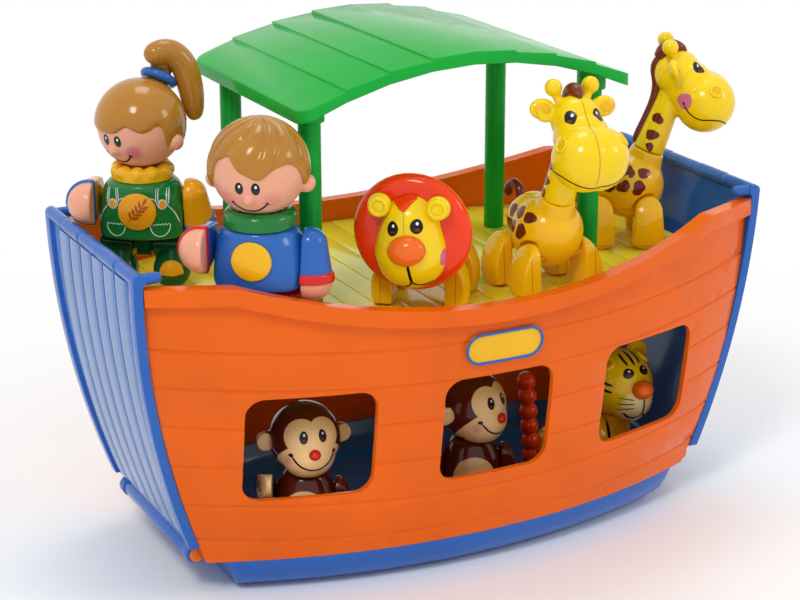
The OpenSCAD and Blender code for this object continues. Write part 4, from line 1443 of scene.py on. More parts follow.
@dataclass
class Person:
    """A child figure: torso, collar, badge, head, hair, arms and legs."""

    name: str
    stand: Stand
    torso_z: float
    head_r: float
    head_turn: float
    shirt: Finish
    hips: Finish
    sleeve: Finish
    cuff: Finish
    legs: Finish
    collar: Finish
    badge: Finish
    swings: Flat
    hair: HairCap
    cheek: float = 0.3
    shoulder: float = 21.5

    def head_frame(self) -> Matrix:
        """Frame of the head about its middle."""
        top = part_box(self.name + "_head")[1][2] / MM
        return self.stand.part((0, 0, top - self.head_r - self.stand.at[2]), self.head_turn)

    def arm(self, side: str, s: int, swing: float) -> None:
        """Builds an arm as a sleeve, a raised cuff and a hand.

        Args:
            side: left or right.
            s: 1 for the left arm, -1 for the right.
            swing: how far it is swung forward at rest, in degrees.
        """
        base = self.stand.part((0, 0, self.torso_z + self.shoulder)) \
            @ Matrix.Rotation(math.radians(-swing), 4, "X")
        Toy.arm(f"{self.name}_arm_{side}", base, s, (Stretch("sleeve", -40.0, 14.6, 0.0, self.sleeve),
                                                     Stretch("cuff", 13.6, 18.8, 0.8, self.cuff),
                                                     Stretch("hand", 17.8, 60.0, -0.5, Coats.SKIN)))

    def face(self, head: bpy.types.Object, part: Matrix) -> None:
        """Paints the eyes, each with a painted highlight (glint) and a painted reflection low in it, and the
        smile.

        Args:
            head: the finished head.
            part: frame of the head.
        """
        skin, view, r = Skin(head), look(part), self.head_r
        body = self.name + "_head"
        black = Paint(body + "_eyes", Coats.BLACK, body)
        white = Paint(body + "_glints", Coats.WHITE, body, 0.32)
        reflection = Paint(body + "_eye_glow", Coats.GREY, body, 0.24)
        for s in (-1, 1):
            black.oval(skin, view, (s * 0.172 * r, -0.205 * r), (0.088 * r, 0.13 * r))
            # Grey crescent low in each eye: painted reflection. White dot: painted highlight (glint).
            reflection.oval(skin, view, (s * 0.172 * r, -0.265 * r), (0.05 * r, 0.045 * r))
            white.oval(skin, view, (s * 0.172 * r + 0.01 * r, -0.16 * r), (0.025 * r, 0.032 * r))
        half = [(0, -0.755 * r), (0.13 * r, -0.735 * r), (0.26 * r, -0.66 * r), (0.37 * r, -0.55 * r)]
        black.stroke(skin, view, [(-u, v) for u, v in half[:0:-1]] + half, 0.8)
        for s in (-1, 1):
            dimple = [(s * 0.395 * r, -0.585 * r), (s * 0.37 * r, -0.55 * r), (s * 0.335 * r, -0.53 * r)]
            black.stroke(skin, view, dimple, 0.65)
        for paint in (black, reflection, white):
            paint.done()

    def build(self) -> bpy.types.Object:
        """Builds and dresses the figure.

        Returns:
            The torso, for further trim.
        """
        part = self.head_frame()
        r = self.head_r
        hip_z = (self.stand.at[2] + self.torso_z + 0.1) * MM
        hip = Zone(ZoneKind.PLANE, (0, 0, hip_z), self.hips.hue, edge=0.0002, towards=(0, 0, -1))
        shirt = Finish(self.name + "_shirt", self.shirt.hue, self.shirt.slot, zones=(hip,))
        torso = Toy.soft(self.name + "_torso", shirt)
        Toy.soft(self.name + "_collar", self.collar, 0.6, 4)
        Toy.soft(self.name + "_badge", self.badge, 0.4, 3)
        Toy.soft(self.name + "_legs", self.legs)
        self.arm("left", 1, self.swings[0])
        self.arm("right", -1, self.swings[1])
        spots = [(s * 0.46 * r, -0.74 * r, -0.48 * r) for s in (-1, 1)]
        cheeks = blush(part, spots, Hue.BLUSH, 0.27 * r, 0.16 * r, self.cheek)
        skin = Finish(self.name + "_skin", Hue.SKIN, Slot.SKIN, 0.24, 0.34, 0.1, zones=cheeks)
        head = Toy.soft(self.name + "_head", skin, 0.6, 4)
        self.face(head, part)
        cap = self.hair.build(self.name + "_hair_cap", part)
        Toy.fit(cap, Coats.HAIR, self.name + "_head", (self.name + "_hair",))
        return torso


def blob(size: float, turn: float) -> list[Flat]:
    """Draws the outline of a rounded, uneven spot.

    Args:
        size: its radius in mm.
        turn: shift of its bumps in radians.

    Returns:
        Points of the outline.
    """
    steps = 40
    out = []
    for k in range(steps):
        a = 2 * math.pi * k / steps
        bumps = 0.13 * math.cos(2 * a + turn) + 0.09 * math.cos(3 * a + 1.7 * turn) + 0.04 * math.cos(5 * a)
        r = size * (1 + bumps)
        out.append((r * math.cos(a), r * math.sin(a)))
    return out


@dataclass
class Girl(Person):
    """The girl: pony tail, ruffled collar, stitched dungarees and a badge with a sprig."""

    def pony_tail(self) -> None:
        """Builds the tail of hair that rises through the band."""
        stalk = [(0, 12.6, 18.0, 5.0), (0, 15.5, 22.1, 5.2), (0, 18.0, 25.7, 5.6), (0, 18.6, 29.0, 6.4),
                 (1.0, 17.6, 33.0, 6.4)]
        tail = [(0.3, 6.6, 34.9, 0.6), (0.4, 7.4, 35.1, 3.2), (0.7, 9.6, 35.7, 5.3), (1.4, 12.8, 36.4, 6.5),
                (3.6, 17.0, 36.8, 7.1), (6.6, 21.4, 35.0, 7.3), (10, 25.4, 28.4, 7.3), (12.4, 27.2, 17, 7.0),
                (13.6, 27.8, 7, 6.0), (14.2, 28.0, 1.6, 4.4), (14.4, 28.2, -0.6, 2.6),
                (14.5, 28.3, -1.4, 0.4)]
        for label, stations in (("stalk", stalk), ("pony_tail", tail)):
            Toy.fit(Shaper.loft("girl_" + label, self.head_frame(), stations, 32), Coats.HAIR, "girl_head")
        Toy.soft("girl_hair_band", Coats.CLOTH_BLUE, 0.4, 3)

    def dungarees(self, torso: bpy.types.Object) -> None:
        """Stitches the straps, the bib and the pockets.

        Args:
            torso: the finished torso.
        """
        skin = Skin(torso)
        view = look(self.stand.part((0, 0, self.torso_z)))
        white = Paint("girl_stitches", Coats.WHITE, "girl", 0.22)
        gold = Paint("girl_buttons", Coats.GOLD, "girl", 0.6)
        for s, side in SIDES:
            for inset in (0.0, 1.0):
                left, right = s * (16.4 - inset), s * (10.4 + inset)
                strap = [(left, 28.5), (left, 21), (s * 13.4, 17.6 + inset), (right, 21), (right, 28.8)]
                white.stroke(skin, view, strap, 0.4)
            white.oval(skin, view, (s * 13.4, 20.4), (2.1, 2.7))
            gold.oval(skin, view, (s * 13.4, 20.4), (1.6, 2.2))
            white.stroke(skin, view, [(s * 10.6, 21), (s * 8.5, 23.4), (0, 24.6)], 0.4)
            white.stroke(skin, view, [(s * 15.8, 20), (s * 19.5, 15), (s * 21.6, 9)], 0.4)
            pocket = [(s * 12 + 5.2 * math.cos(a), 8.6 - 6.2 * math.sin(a))
                      for a in (math.pi * k / 10 for k in range(11))]
            white.stroke(skin, view, pocket, 0.4)
            hem = [(s * 12 - 5.2 + 10.4 * k / 24, 8.8 + 0.5 * abs(math.sin(math.pi * k / 4)))
                   for k in range(25)]
            line = [p + n * 0.1 * MM for p, n in (skin.drop(view, u, v) for u, v in hem)]
            sizes = {"Step": 1.05 * MM, "Size": (0.42 * MM, 0.3 * MM, 0.3 * MM),
                     "Material": Coats.WHITE.material()}
            stitched = Growth.grow(Growth.path("girl_pocket_" + side, [line]), Growth.stitches(), sizes)
            Toy.fit(stitched, Coats.WHITE, "girl")
        white.done()
        gold.done()

    def sprig(self) -> None:
        """Draws a plain sprig on the badge."""
        skin = Skin(bpy.data.objects["girl_badge_moulded"])
        view = look(self.stand.part((0, 0, self.torso_z + 16.5)))
        leaf = Paint("girl_badge_sprig", Coats.SPRIG, "girl", 0.12)
        leaf.stroke(skin, view, [(-4.6, -5.4), (-1, -1.6), (2.4, 2.2), (4.2, 5.2)], 0.6)
        for k in range(4):
            u, v = -1.8 + 1.75 * k, -2.6 + 2.0 * k
            leaf.oval(skin, view, (u - 1.7, v + 1.2), (0.75, 2.0), 12.0, 0.4)
            leaf.oval(skin, view, (u + 1.5, v - 0.6), (0.75, 2.0), -76.0, 0.4)
        leaf.oval(skin, view, (4.6, 6.2), (0.8, 2.0), -32.0, 0.4)
        leaf.done()

    def knees(self) -> None:
        """Lays the half-round patches on the knees."""
        skin = Skin(bpy.data.objects["girl_legs_moulded"])
        patch = Paint("girl_knee_patches", Coats.GOLD, "girl_legs", 0.45)
        dome = [(6.4 * math.cos(a), 7.6 * math.sin(a) - 3.4) for a in (math.pi * k / 24 for k in range(25))]
        foot = [(-6.4 + 1.6 * k, -3.4 - 0.8 * math.sin(math.pi * k / 8)) for k in range(1, 8)]
        for s in (-1, 1):
            patch.patch(skin, look(self.stand.part((s * 14.4, 0, 14)), s * 8.0), dome + foot)
        patch.done()

    def build(self) -> bpy.types.Object:
        """Builds and dresses the girl.

        Returns:
            The torso.
        """
        torso = super().build()
        self.pony_tail()
        self.dungarees(torso)
        self.sprig()
        self.knees()
        return torso


@dataclass
class Beast:
    """An animal with two pairs of legs and parting lines, drawn darker to paint the shade in their grooves.
    """

    name: str
    stand: Stand
    coat: Finish = Coats.YELLOW
    # Bodies and legs take a warmer, darker copy of the yellow plastic: painted shade.
    shaded_coat: Finish = Coats.AMBER

    def trunk(self) -> bpy.types.Object:
        """Builds the body and the legs, in the warmer yellow that paints their shade.

        Returns:
            The body.
        """
        body = Toy.soft(self.name + "_body", self.shaded_coat, 0.8, 7)
        for pair in ("fore", "hind"):
            node = f"{self.name}_{pair}_legs"
            legs = Toy.soft(node, self.shaded_coat, 0.7, 5)
            self.shaded_seams(legs, node)
        return body

    def shaded_seams(self, legs: bpy.types.Object, node: str) -> None:
        """Draws the parting line down the outside of each leg, in a darker yellow that paints the shade in
        its groove.

        Args:
            legs: the finished pair.
            node: body of the pair.
        """
        skin, line = Skin(legs), Paint(node + "_seam", Coats.SEAM, node, 0.05)
        low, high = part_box(node)
        mid = (Vector(low) + Vector(high)) / 2
        turn = Matrix.Rotation(math.radians(self.stand.turn), 4, "Z")
        part = Matrix.Translation((mid.x, mid.y, low[2])) @ turn @ Matrix.Scale(MM, 4)
        for s in (-1, 1):
            leg = look(part @ Matrix.Translation((s * 20.5, 0, 0)))
            line.stroke(skin, leg, [(0, 2.5), (0, 10), (0, 18), (0, 27)], 0.35)
            line.stroke(skin, look(part, s * 90.0), [(-7.5, 3), (0, 2.2), (7.5, 3)], 0.3)
        line.done()

    def eyes(self, skin: Skin, part: Matrix, body: str, spot: Spot, half: Flat, tilt: float = 0.0,
             drop: float = 0.25) -> None:
        """Paints a pair of drop-shaped eyes, each with a painted highlight (glint) and a painted reflection
        low in it.

        Args:
            skin: surface of the head.
            part: frame of the head.
            body: body of the head.
            spot: middle of the left eye in mm.
            half: half sizes of an eye in mm.
            tilt: lean of the left eye in degrees.
            drop: how much narrower one end of an eye is.
        """
        black = Paint(body + "_eyes", Coats.BLACK, body, reach=14.0)
        glow = Paint(body + "_eye_glow", Coats.CLARET, body, 0.24, reach=14.0)
        white = Paint(body + "_glints", Coats.WHITE, body, 0.32, reach=14.0)
        for s in (-1, 1):
            view = skin.seat(part, (s * spot[0], spot[1], spot[2]))
            black.oval(skin, view, (0, 0), half, s * tilt, drop)
            # Claret crescent low in each eye: painted reflection. White dot: painted highlight (glint).
            glow.oval(skin, view, (0.05 * half[0], -0.5 * half[1]), (0.45 * half[0], 0.2 * half[1]))
            white.oval(skin, view, (0.1 * half[0], 0.36 * half[1]), (0.22 * half[0], 0.22 * half[1]))
        for paint in (black, glow, white):
            paint.done()

    def dish(self, name: str, body: str, place: Matrix, radius: float, tube: float, finish: Finish) -> None:
        """Lays a raised ring round a shallow dish.

        Args:
            name: name of the pieces.
            body: body they ride on.
            place: frame on the surface.
            radius: radius of the ring in mm.
            tube: thickness of the ring in mm.
            finish: finish of the dish's floor.
        """
        Toy.fit(Shaper.ring(name + "_ring", place, radius, tube), self.coat, body)
        Toy.fit(Shaper.ball(name + "_floor", place, (radius, radius, 0.35), 12), finish, body)


@dataclass
class Lion(Beast):
    """The lion: mane disc, egg face, ring ears and a wide nose."""

    head_at: Spot = (0.0, -44.0, 47.0)
    roll: float = 8.0
    profile: tuple[Flat, ...] = (
        (-29.5, 0.4), (-28.6, 5.8), (-25.5, 11.8), (-20, 16.7), (-12, 19.4), (-5, 18.9), (4, 16.6),
        (10, 15.0), (14, 13.3), (17, 10.9), (20, 6.6), (21.2, 3.0), (21.5, 0.4))

    def egg(self, part: Matrix, finish: Finish) -> bpy.types.Object:
        """Builds the egg-shaped face in front of the mane.

        Args:
            part: frame of the face.
            finish: its finish.

        Returns:
            The face.
        """
        whole = Shaper.loft("lion_face_whole", part, [(0, 3, z, r) for z, r in self.profile], 72)
        way = (part.to_3x3() @ Vector((0, -1, 0))).normalized()
        face = Shaper.slab(whole, "lion_face_moulded", part @ Vector((0, 0, 0)), way, 0.0, 60.0)
        bpy.data.objects.remove(whole)
        face.data.shade_smooth()
        face.data.set_sharp_from_angle(angle=math.radians(50.0))
        return Toy.fit(face, finish, "lion_head", ("lion_face",))

    def features(self, skin: Skin, part: Matrix) -> None:
        """Sets the nose and paints the eyes, the mouth and the fringe.

        Args:
            skin: surface of the face.
            part: frame of the face, rolled.
        """
        view = look(part)
        fringe = Paint("lion_fringe", Coats.MANE, "lion_head", 1.2, 0.6)
        vee = smooth([(-6.4, 19.6), (-3.4, 17.4), (0, 15.0), (3.4, 17.4), (6.4, 19.6)])
        fringe.patch(skin, view, vee + [(4.0, 20.5), (0, 20.9), (-4.0, 20.5)])
        fringe.done()
        nose = Shaper.ball("lion_nose", part @ Matrix.Translation((0, -14.4, -4.6)), (10.2, 7.2, 8.2))
        Toy.fit(nose, Coats.NOSE, "lion_head")
        self.eyes(skin, part, "lion_head", (7.2, -13.0, 7.6), (3.5, 3.9), -12.0, 0.15)
        black = Paint("lion_mouth", Coats.BLACK, "lion_head")
        black.stroke(skin, view, [(0, -12.0), (0, -17), (0, -22.0)], 1.5, 0.9)
        for s in (-1, 1):
            lip = [(0, -21.8), (s * 1.6, -24.2), (s * 5.0, -25.4), (s * 9.8, -24.6)]
            black.stroke(skin, view, lip, 1.0)
        black.done()
        # Parting lines on the chin and brow, drawn darker: painted shade in their grooves.
        seam = Paint("lion_face_seam", Coats.SEAM, "lion_head", 0.05)
        seam.stroke(skin, view, [(0, -24), (0, -26), (0, -28)], 0.35)
        seam.stroke(skin, view, [(0, 3.2), (0, 9), (0, 14.6)], 0.35)
        seam.done()

    def build(self) -> None:
        """Builds and dresses the lion."""
        self.trunk()
        part = self.stand.part(self.head_at)
        rolled = part @ Matrix.Rotation(math.radians(-self.roll), 4, "Y")
        Toy.soft("lion_mane", Coats.MANE, 0.8, 6)
        # Lighter orange ring round the mane's rim: painted highlight along the rounded edge.
        edge = look(part @ Matrix.Translation((0, 5.5, 0)))
        Toy.fit(Shaper.ring("lion_mane_seam", edge, 31.35, 0.45), Coats.NOSE, "lion_head")
        cheeks = blush(rolled, [(s * 18.3, -3.0, -13.0) for s in (-1, 1)], Hue.PINK, 5.2, 0.6, 1.0)
        face = self.egg(part, Finish("lion_face", Hue.YELLOW, Slot.YELLOW, zones=cheeks))
        self.features(Skin(face), rolled)
        for s, side in SIDES:
            name = "lion_ear_" + side
            ear = look(part @ Matrix.Translation((s * 15.5, -4.6, 16.5)))
            Toy.fit(Shaper.ball(name, ear, (6.4, 6.4, 4.6)), self.coat, "lion_head")
            self.dish(name, "lion_head", ear @ Matrix.Translation((0, 0, 3.6)), 4.2, 1.5, Coats.GOLD)


@dataclass
class Giraffe(Beast):
    """A giraffe: long leaning neck, ball horns, big muzzle and brown spots."""

    neck_turn: float = 0.0
    gaze: float = 0.0
    neck_foot: Spot = (0.0, -15.0, 54.0)
    neck_lean: float = 20.0
    neck_len: float = 40.0

    def neck_frame(self) -> Matrix:
        """Frame of the neck at its foot, its third axis along the neck."""
        return self.stand.part(self.neck_foot) @ Matrix.Rotation(math.radians(self.neck_lean), 4, "X") \
            @ Matrix.Rotation(math.radians(self.neck_turn), 4, "Z")

    def build(self) -> None:
        """Builds and dresses the giraffe."""
        body = self.trunk()
        Toy.soft(self.name + "_tail", Coats.BROWN, 0.5, 4)
        rides = self.name + "_neck"
        foot = self.neck_frame()
        part = foot @ Matrix.Translation((0, 0, self.neck_len)) \
            @ Matrix.Rotation(math.radians(-self.neck_lean), 4, "X")
        cheeks = blush(part, [(s * 14.4, -4.7, -5.4) for s in (-1, 1)], Hue.PINK, 5.2, 0.6, 1.0)
        neck = Toy.soft(rides, Finish(self.name + "_head", Hue.YELLOW, Slot.YELLOW, zones=cheeks), 0.7, 8)
        self.head(Skin(neck), part @ Matrix.Rotation(math.radians(self.gaze), 4, "Z"), rides)
        mane = [(0, 9.0, 1.5, 0.8), (0, 9.5, 5, 2.0), (0, 8.7, 18, 2.2), (0, 8.6, 29, 2.3),
                (0, 10.6, 38, 2.3), (0, 14.6, 45.5, 2.3), (0, 15.2, 50.5, 2.3), (0, 12.2, 58.5, 2.3),
                (0, 7.4, 62, 2.0), (0, 4.4, 62.6, 0.8)]
        Toy.fit(Shaper.loft(self.name + "_mane", foot, mane), Coats.CLARET, rides)
        self.spots(Skin(neck), Skin(body), foot)

    def head(self, skin: Skin, part: Matrix, rides: str) -> None:
        """Paints the face and sets the nostrils and the tuft.

        Args:
            skin: surface of the neck and head.
            part: frame of the head.
            rides: body of the neck.
        """
        self.eyes(skin, part, rides, (7.4, -12.3, 12.3), (3.5, 4.2), 140.0, 0.4)
        black = Paint(rides + "_mouth", Coats.BLACK, rides, reach=14.0)
        half = [(0, -30.2, -21.6), (6, -30.4, -20.8), (12.4, -28.8, -18.6), (17.4, -25.2, -16.3),
                (19.5, -19.5, -15.3), (18.8, -12.5, -15.0), (17, -7.3, -11.9), (14.1, -4.2, -6.9)]
        black.trail(skin, part, [(-x, y, z) for x, y, z in half[:0:-1]] + half, 0.8)
        for s, side in SIDES:
            black.oval(skin, skin.seat(part, (s * 14.1, -4.2, -6.7)), (0, 0), (0.9, 0.9))
            # Nostril floors in a darker yellow than the head: painted shade in the hollow.
            place = skin.seat(part, (s * 15.6, -21.6, 0.0))
            self.dish(f"{rides}_nostril_{side}", rides, place, 3.3, 0.8, Coats.BADGE)
            ear = part @ Matrix.Translation((s * 17.4, 2.6, 14.4))
            for angle, axis in ((s * 20.0, "Y"), (75.0, "X"), (s * 26.0, "Z")):
                ear = ear @ Matrix.Rotation(math.radians(angle), 4, axis)
            Toy.fit(Shaper.ball(f"{rides}_ear_{side}", ear, (7.2, 5.6, 3.0)), self.coat, rides)
            hollow = ear @ Matrix.Translation((s * 0.8, 0, 2.5))
            floor = Shaper.ball(f"{rides}_ear_{side}_floor", hollow, (4.4, 3.2, 0.75), 12)
            Toy.fit(floor, Coats.BADGE, rides)
        black.done()
        # Parting line over the head, drawn darker: painted shade in its groove.
        seam = Paint(rides + "_seam", Coats.SEAM, rides, 0.05)
        seam.trail(skin, part, [(0, -8, 20.4), (0, -12.5, 16.5), (0, -17.9, 11), (0, -25, 7.5),
                                (0, -31.5, 2.0), (0, -34.6, -6), (0, -34.6, -13.5), (0, -31, -19.5)], 0.4)
        seam.done()
        tuft = [(0, 8.5, 17, 4.2), (0, 6, 21.6, 4.7), (0, 1.5, 23.8, 4.2), (0, -3.0, 23.0, 3.0),
                (0, -5.6, 21.6, 1.4), (0, -6.4, 21, 0.4)]
        Toy.fit(Shaper.loft(rides + "_tuft", part, tuft), Coats.CLARET, rides)

    def spots(self, neck: Skin, body: Skin, foot: Matrix) -> None:
        """Lays the brown spots on the neck and the body.

        Args:
            neck: surface of the neck.
            body: surface of the body.
            foot: frame of the neck.
        """
        rides = self.name + "_neck"
        nape = ((8.4, 2.8, 10.6, 3.4), (7.6, 3.3, 20.6, 3.2), (9.0, 1.5, 3.6, 2.4))
        flank = ((15.6, -11.4, 43.8, 3.6), (15.9, -2.0, 45.2, 3.8), (14.1, 8.7, 43.6, 3.4),
                 (19.2, -8.2, 35.8, 4.0), (19.2, 0.9, 36.6, 3.7), (19.0, 9.6, 35.6, 3.7))
        for skin, part, on, places in ((neck, foot, rides, nape),
                                       (body, self.stand.part((0, 0, 0)), self.name, flank)):
            paint = Paint(on + "_spots", Coats.BROWN, on, 0.14, reach=14.0)
            for k, (x, y, z, size) in enumerate(places):
                for s in (-1, 1):
                    paint.patch(skin, skin.seat(part, (s * x, y, z)), blob(size, 1.3 * k))
            paint.done()


@dataclass
class Tiger(Beast):
    """The tiger in the hold: striped, with ring ears, whiskers and an orange nose."""

    head_at: Spot = (0.0, -24.0, 64.1)
    head_turn: float = -74.0

    def build(self) -> None:
        """Builds and dresses the tiger."""
        body = self.trunk()
        Toy.soft("tiger_tail", Coats.MANE, 0.5, 4)
        part = self.stand.part(self.head_at, self.head_turn)
        muzzle = blush(part, [(0, -16, -8)], Hue.WHITE, 13.0, 2.0, 0.4)
        head = Toy.soft("tiger_head", Finish("tiger_face", Hue.YELLOW, Slot.YELLOW, zones=muzzle), 0.6, 6)
        skin, view = Skin(head), look(part)
        self.eyes(skin, part, "tiger_head", (5.6, -16.0, 11.2), (3.6, 3.0), -20.0)
        nose = Shaper.ball("tiger_nose", part @ Matrix.Translation((0, -22.7, 2.0)), (6.7, 5.9, 5.6))
        Toy.fit(nose, Coats.NOSE, "tiger_head")
        black = Paint("tiger_marks", Coats.BLACK, "tiger_head")
        black.stroke(skin, view, [(0, -3.5), (0, -8), (0, -12.6)], 1.0, 0.9)
        for s in (-1, 1):
            black.stroke(skin, view, [(0, -12.4), (s * 3, -15.0), (s * 7.0, -14.6), (s * 10.4, -11.6)], 0.9)
            for k in range(3):
                whisker = [(s * 6.0, -3.2 - 2.4 * k), (s * 9.5, -2.6 - 3.0 * k), (s * 13, -2.4 - 3.6 * k)]
                black.stroke(skin, view, whisker, 0.55)
            for v in (1.5, 5.5):
                stripe = [(s * -5, v - 1), (0, v), (s * 6, v + 2.4)]
                black.stroke(skin, look(part, s * 62.0), stripe, 1.5, 0.2)
        crown = look(part, 0.0, 62.0)
        black.stroke(skin, crown, [(0, -6), (0, 0), (0, 7)], 1.7, 0.2)
        for s in (-1, 1):
            black.stroke(skin, crown, [(s * 4.2, -5), (s * 4.8, 0), (s * 4.4, 6)], 1.5, 0.2)
        black.done()
        stripes = Paint("tiger_stripes", Coats.BLACK, "tiger", 0.14)
        trunk = Skin(body)
        for f in (-14.0, -5.0, 4.0, 13.0):
            for s in (-1, 1):
                flank = look(self.stand.part((0, f, 34.0)), s * 90.0)
                stripes.stroke(trunk, flank, [(0, -4), (s * 0.8, 3), (0, 10)], 2.2, 0.2)
        stripes.done()
        for s, side in SIDES:
            place = skin.seat(part, (s * 14.0, -5.4, 17.0))
            self.dish("tiger_ear_" + side, "tiger_head", place, 3.6, 1.4, Coats.GOLD)


@dataclass
class Monkey(Beast):
    """A monkey in the hold: heart-shaped tan face, red nose and tan hands."""

    coat: Finish = Coats.COCOA
    head_turn: float = 0.0
    swings: Flat = (0.0, 0.0)
    shoulder: float = 44.0
    head_z: float = 74.4

    def arm(self, side: str, s: int, swing: float) -> None:
        """Builds an arm as a brown sleeve and a tan hand.

        Args:
            side: left or right.
            s: 1 for the left arm, -1 for the right.
            swing: how far it is swung forward at rest, in degrees.
        """
        node = f"{self.name}_arm_{side}"
        base = self.stand.part((0, 0, self.shoulder)) @ Matrix.Rotation(math.radians(-swing), 4, "X")
        Toy.arm(node, base, s, (Stretch("sleeve", -40.0, 16.5, 0.0, self.coat),
                                Stretch("hand", 15.6, 60.0, -0.3, Coats.TAN)))
        hand = Skin(bpy.data.objects[node + "_hand"])
        swirl = Paint(node + "_swirl", Coats.CLARET, node, 0.12)
        view = look(base @ Matrix.Translation((0, 0, -24.0)), s * 90.0)
        coil = [(3.4 - 0.16 * k, 0.55 * k) for k in range(18)]
        swirl.stroke(hand, view, [(r * math.cos(a), r * math.sin(a)) for r, a in coil], 0.55)
        swirl.done()

    def build(self) -> None:
        """Builds and dresses the monkey."""
        part = self.stand.part((0, 0, self.head_z), self.head_turn)
        belly = blush(self.stand.part((0, 0, 0)), [(0, -18.5, 36.0)], Hue.TAN, 13.0, 0.4, 1.0)
        trunk = Finish(self.name + "_trunk", Hue.COCOA, Slot.BROWN, zones=belly)
        Toy.soft(self.name + "_body", trunk, 0.7, 6)
        Toy.soft(self.name + "_legs", self.coat, 0.7, 5)
        self.arm("left", 1, self.swings[0])
        self.arm("right", -1, self.swings[1])
        mask = blush(part, [(s * 6.2, -15.8, 6.6) for s in (-1, 1)], Hue.TAN, 9.6, 0.4, 1.0) \
            + blush(part, [(0, -9.0, -10.0)], Hue.TAN, 17.5, 0.4, 1.0) \
            + blush(part, [(s * 21.5, 2.0, -1.0) for s in (-1, 1)], Hue.TAN, 5.6, 0.4, 1.0) \
            + blush(part, [(s * 12.5, -14.0, -7.0) for s in (-1, 1)], Hue.PINK, 4.0, 3.0, 0.5)
        rides = self.name + "_head"
        head = Toy.soft(rides, Finish(self.name + "_face", Hue.COCOA, Slot.BROWN, zones=mask), 0.6, 6)
        skin, view = Skin(head), look(part)
        self.eyes(skin, part, rides, (5.3, -18.0, 6.5), (2.3, 3.5), 0.0, 0.1)
        nose = Shaper.ball(rides + "_nose", part @ Matrix.Translation((0, -20.6, -3.0)), (3.3, 3.3, 3.0), 16)
        Toy.fit(nose, Coats.RED, rides)
        black = Paint(rides + "_smile", Coats.BLACK, rides)
        half = [(0, -11.9), (3.6, -11.4), (8.2, -8.8), (11.6, -4.0)]
        black.stroke(skin, view, [(-u, v) for u, v in half[:0:-1]] + half, 0.9)
        for s in (-1, 1):
            black.oval(skin, view, (s * 11.8, -3.6), (1.0, 1.0))
        black.done()


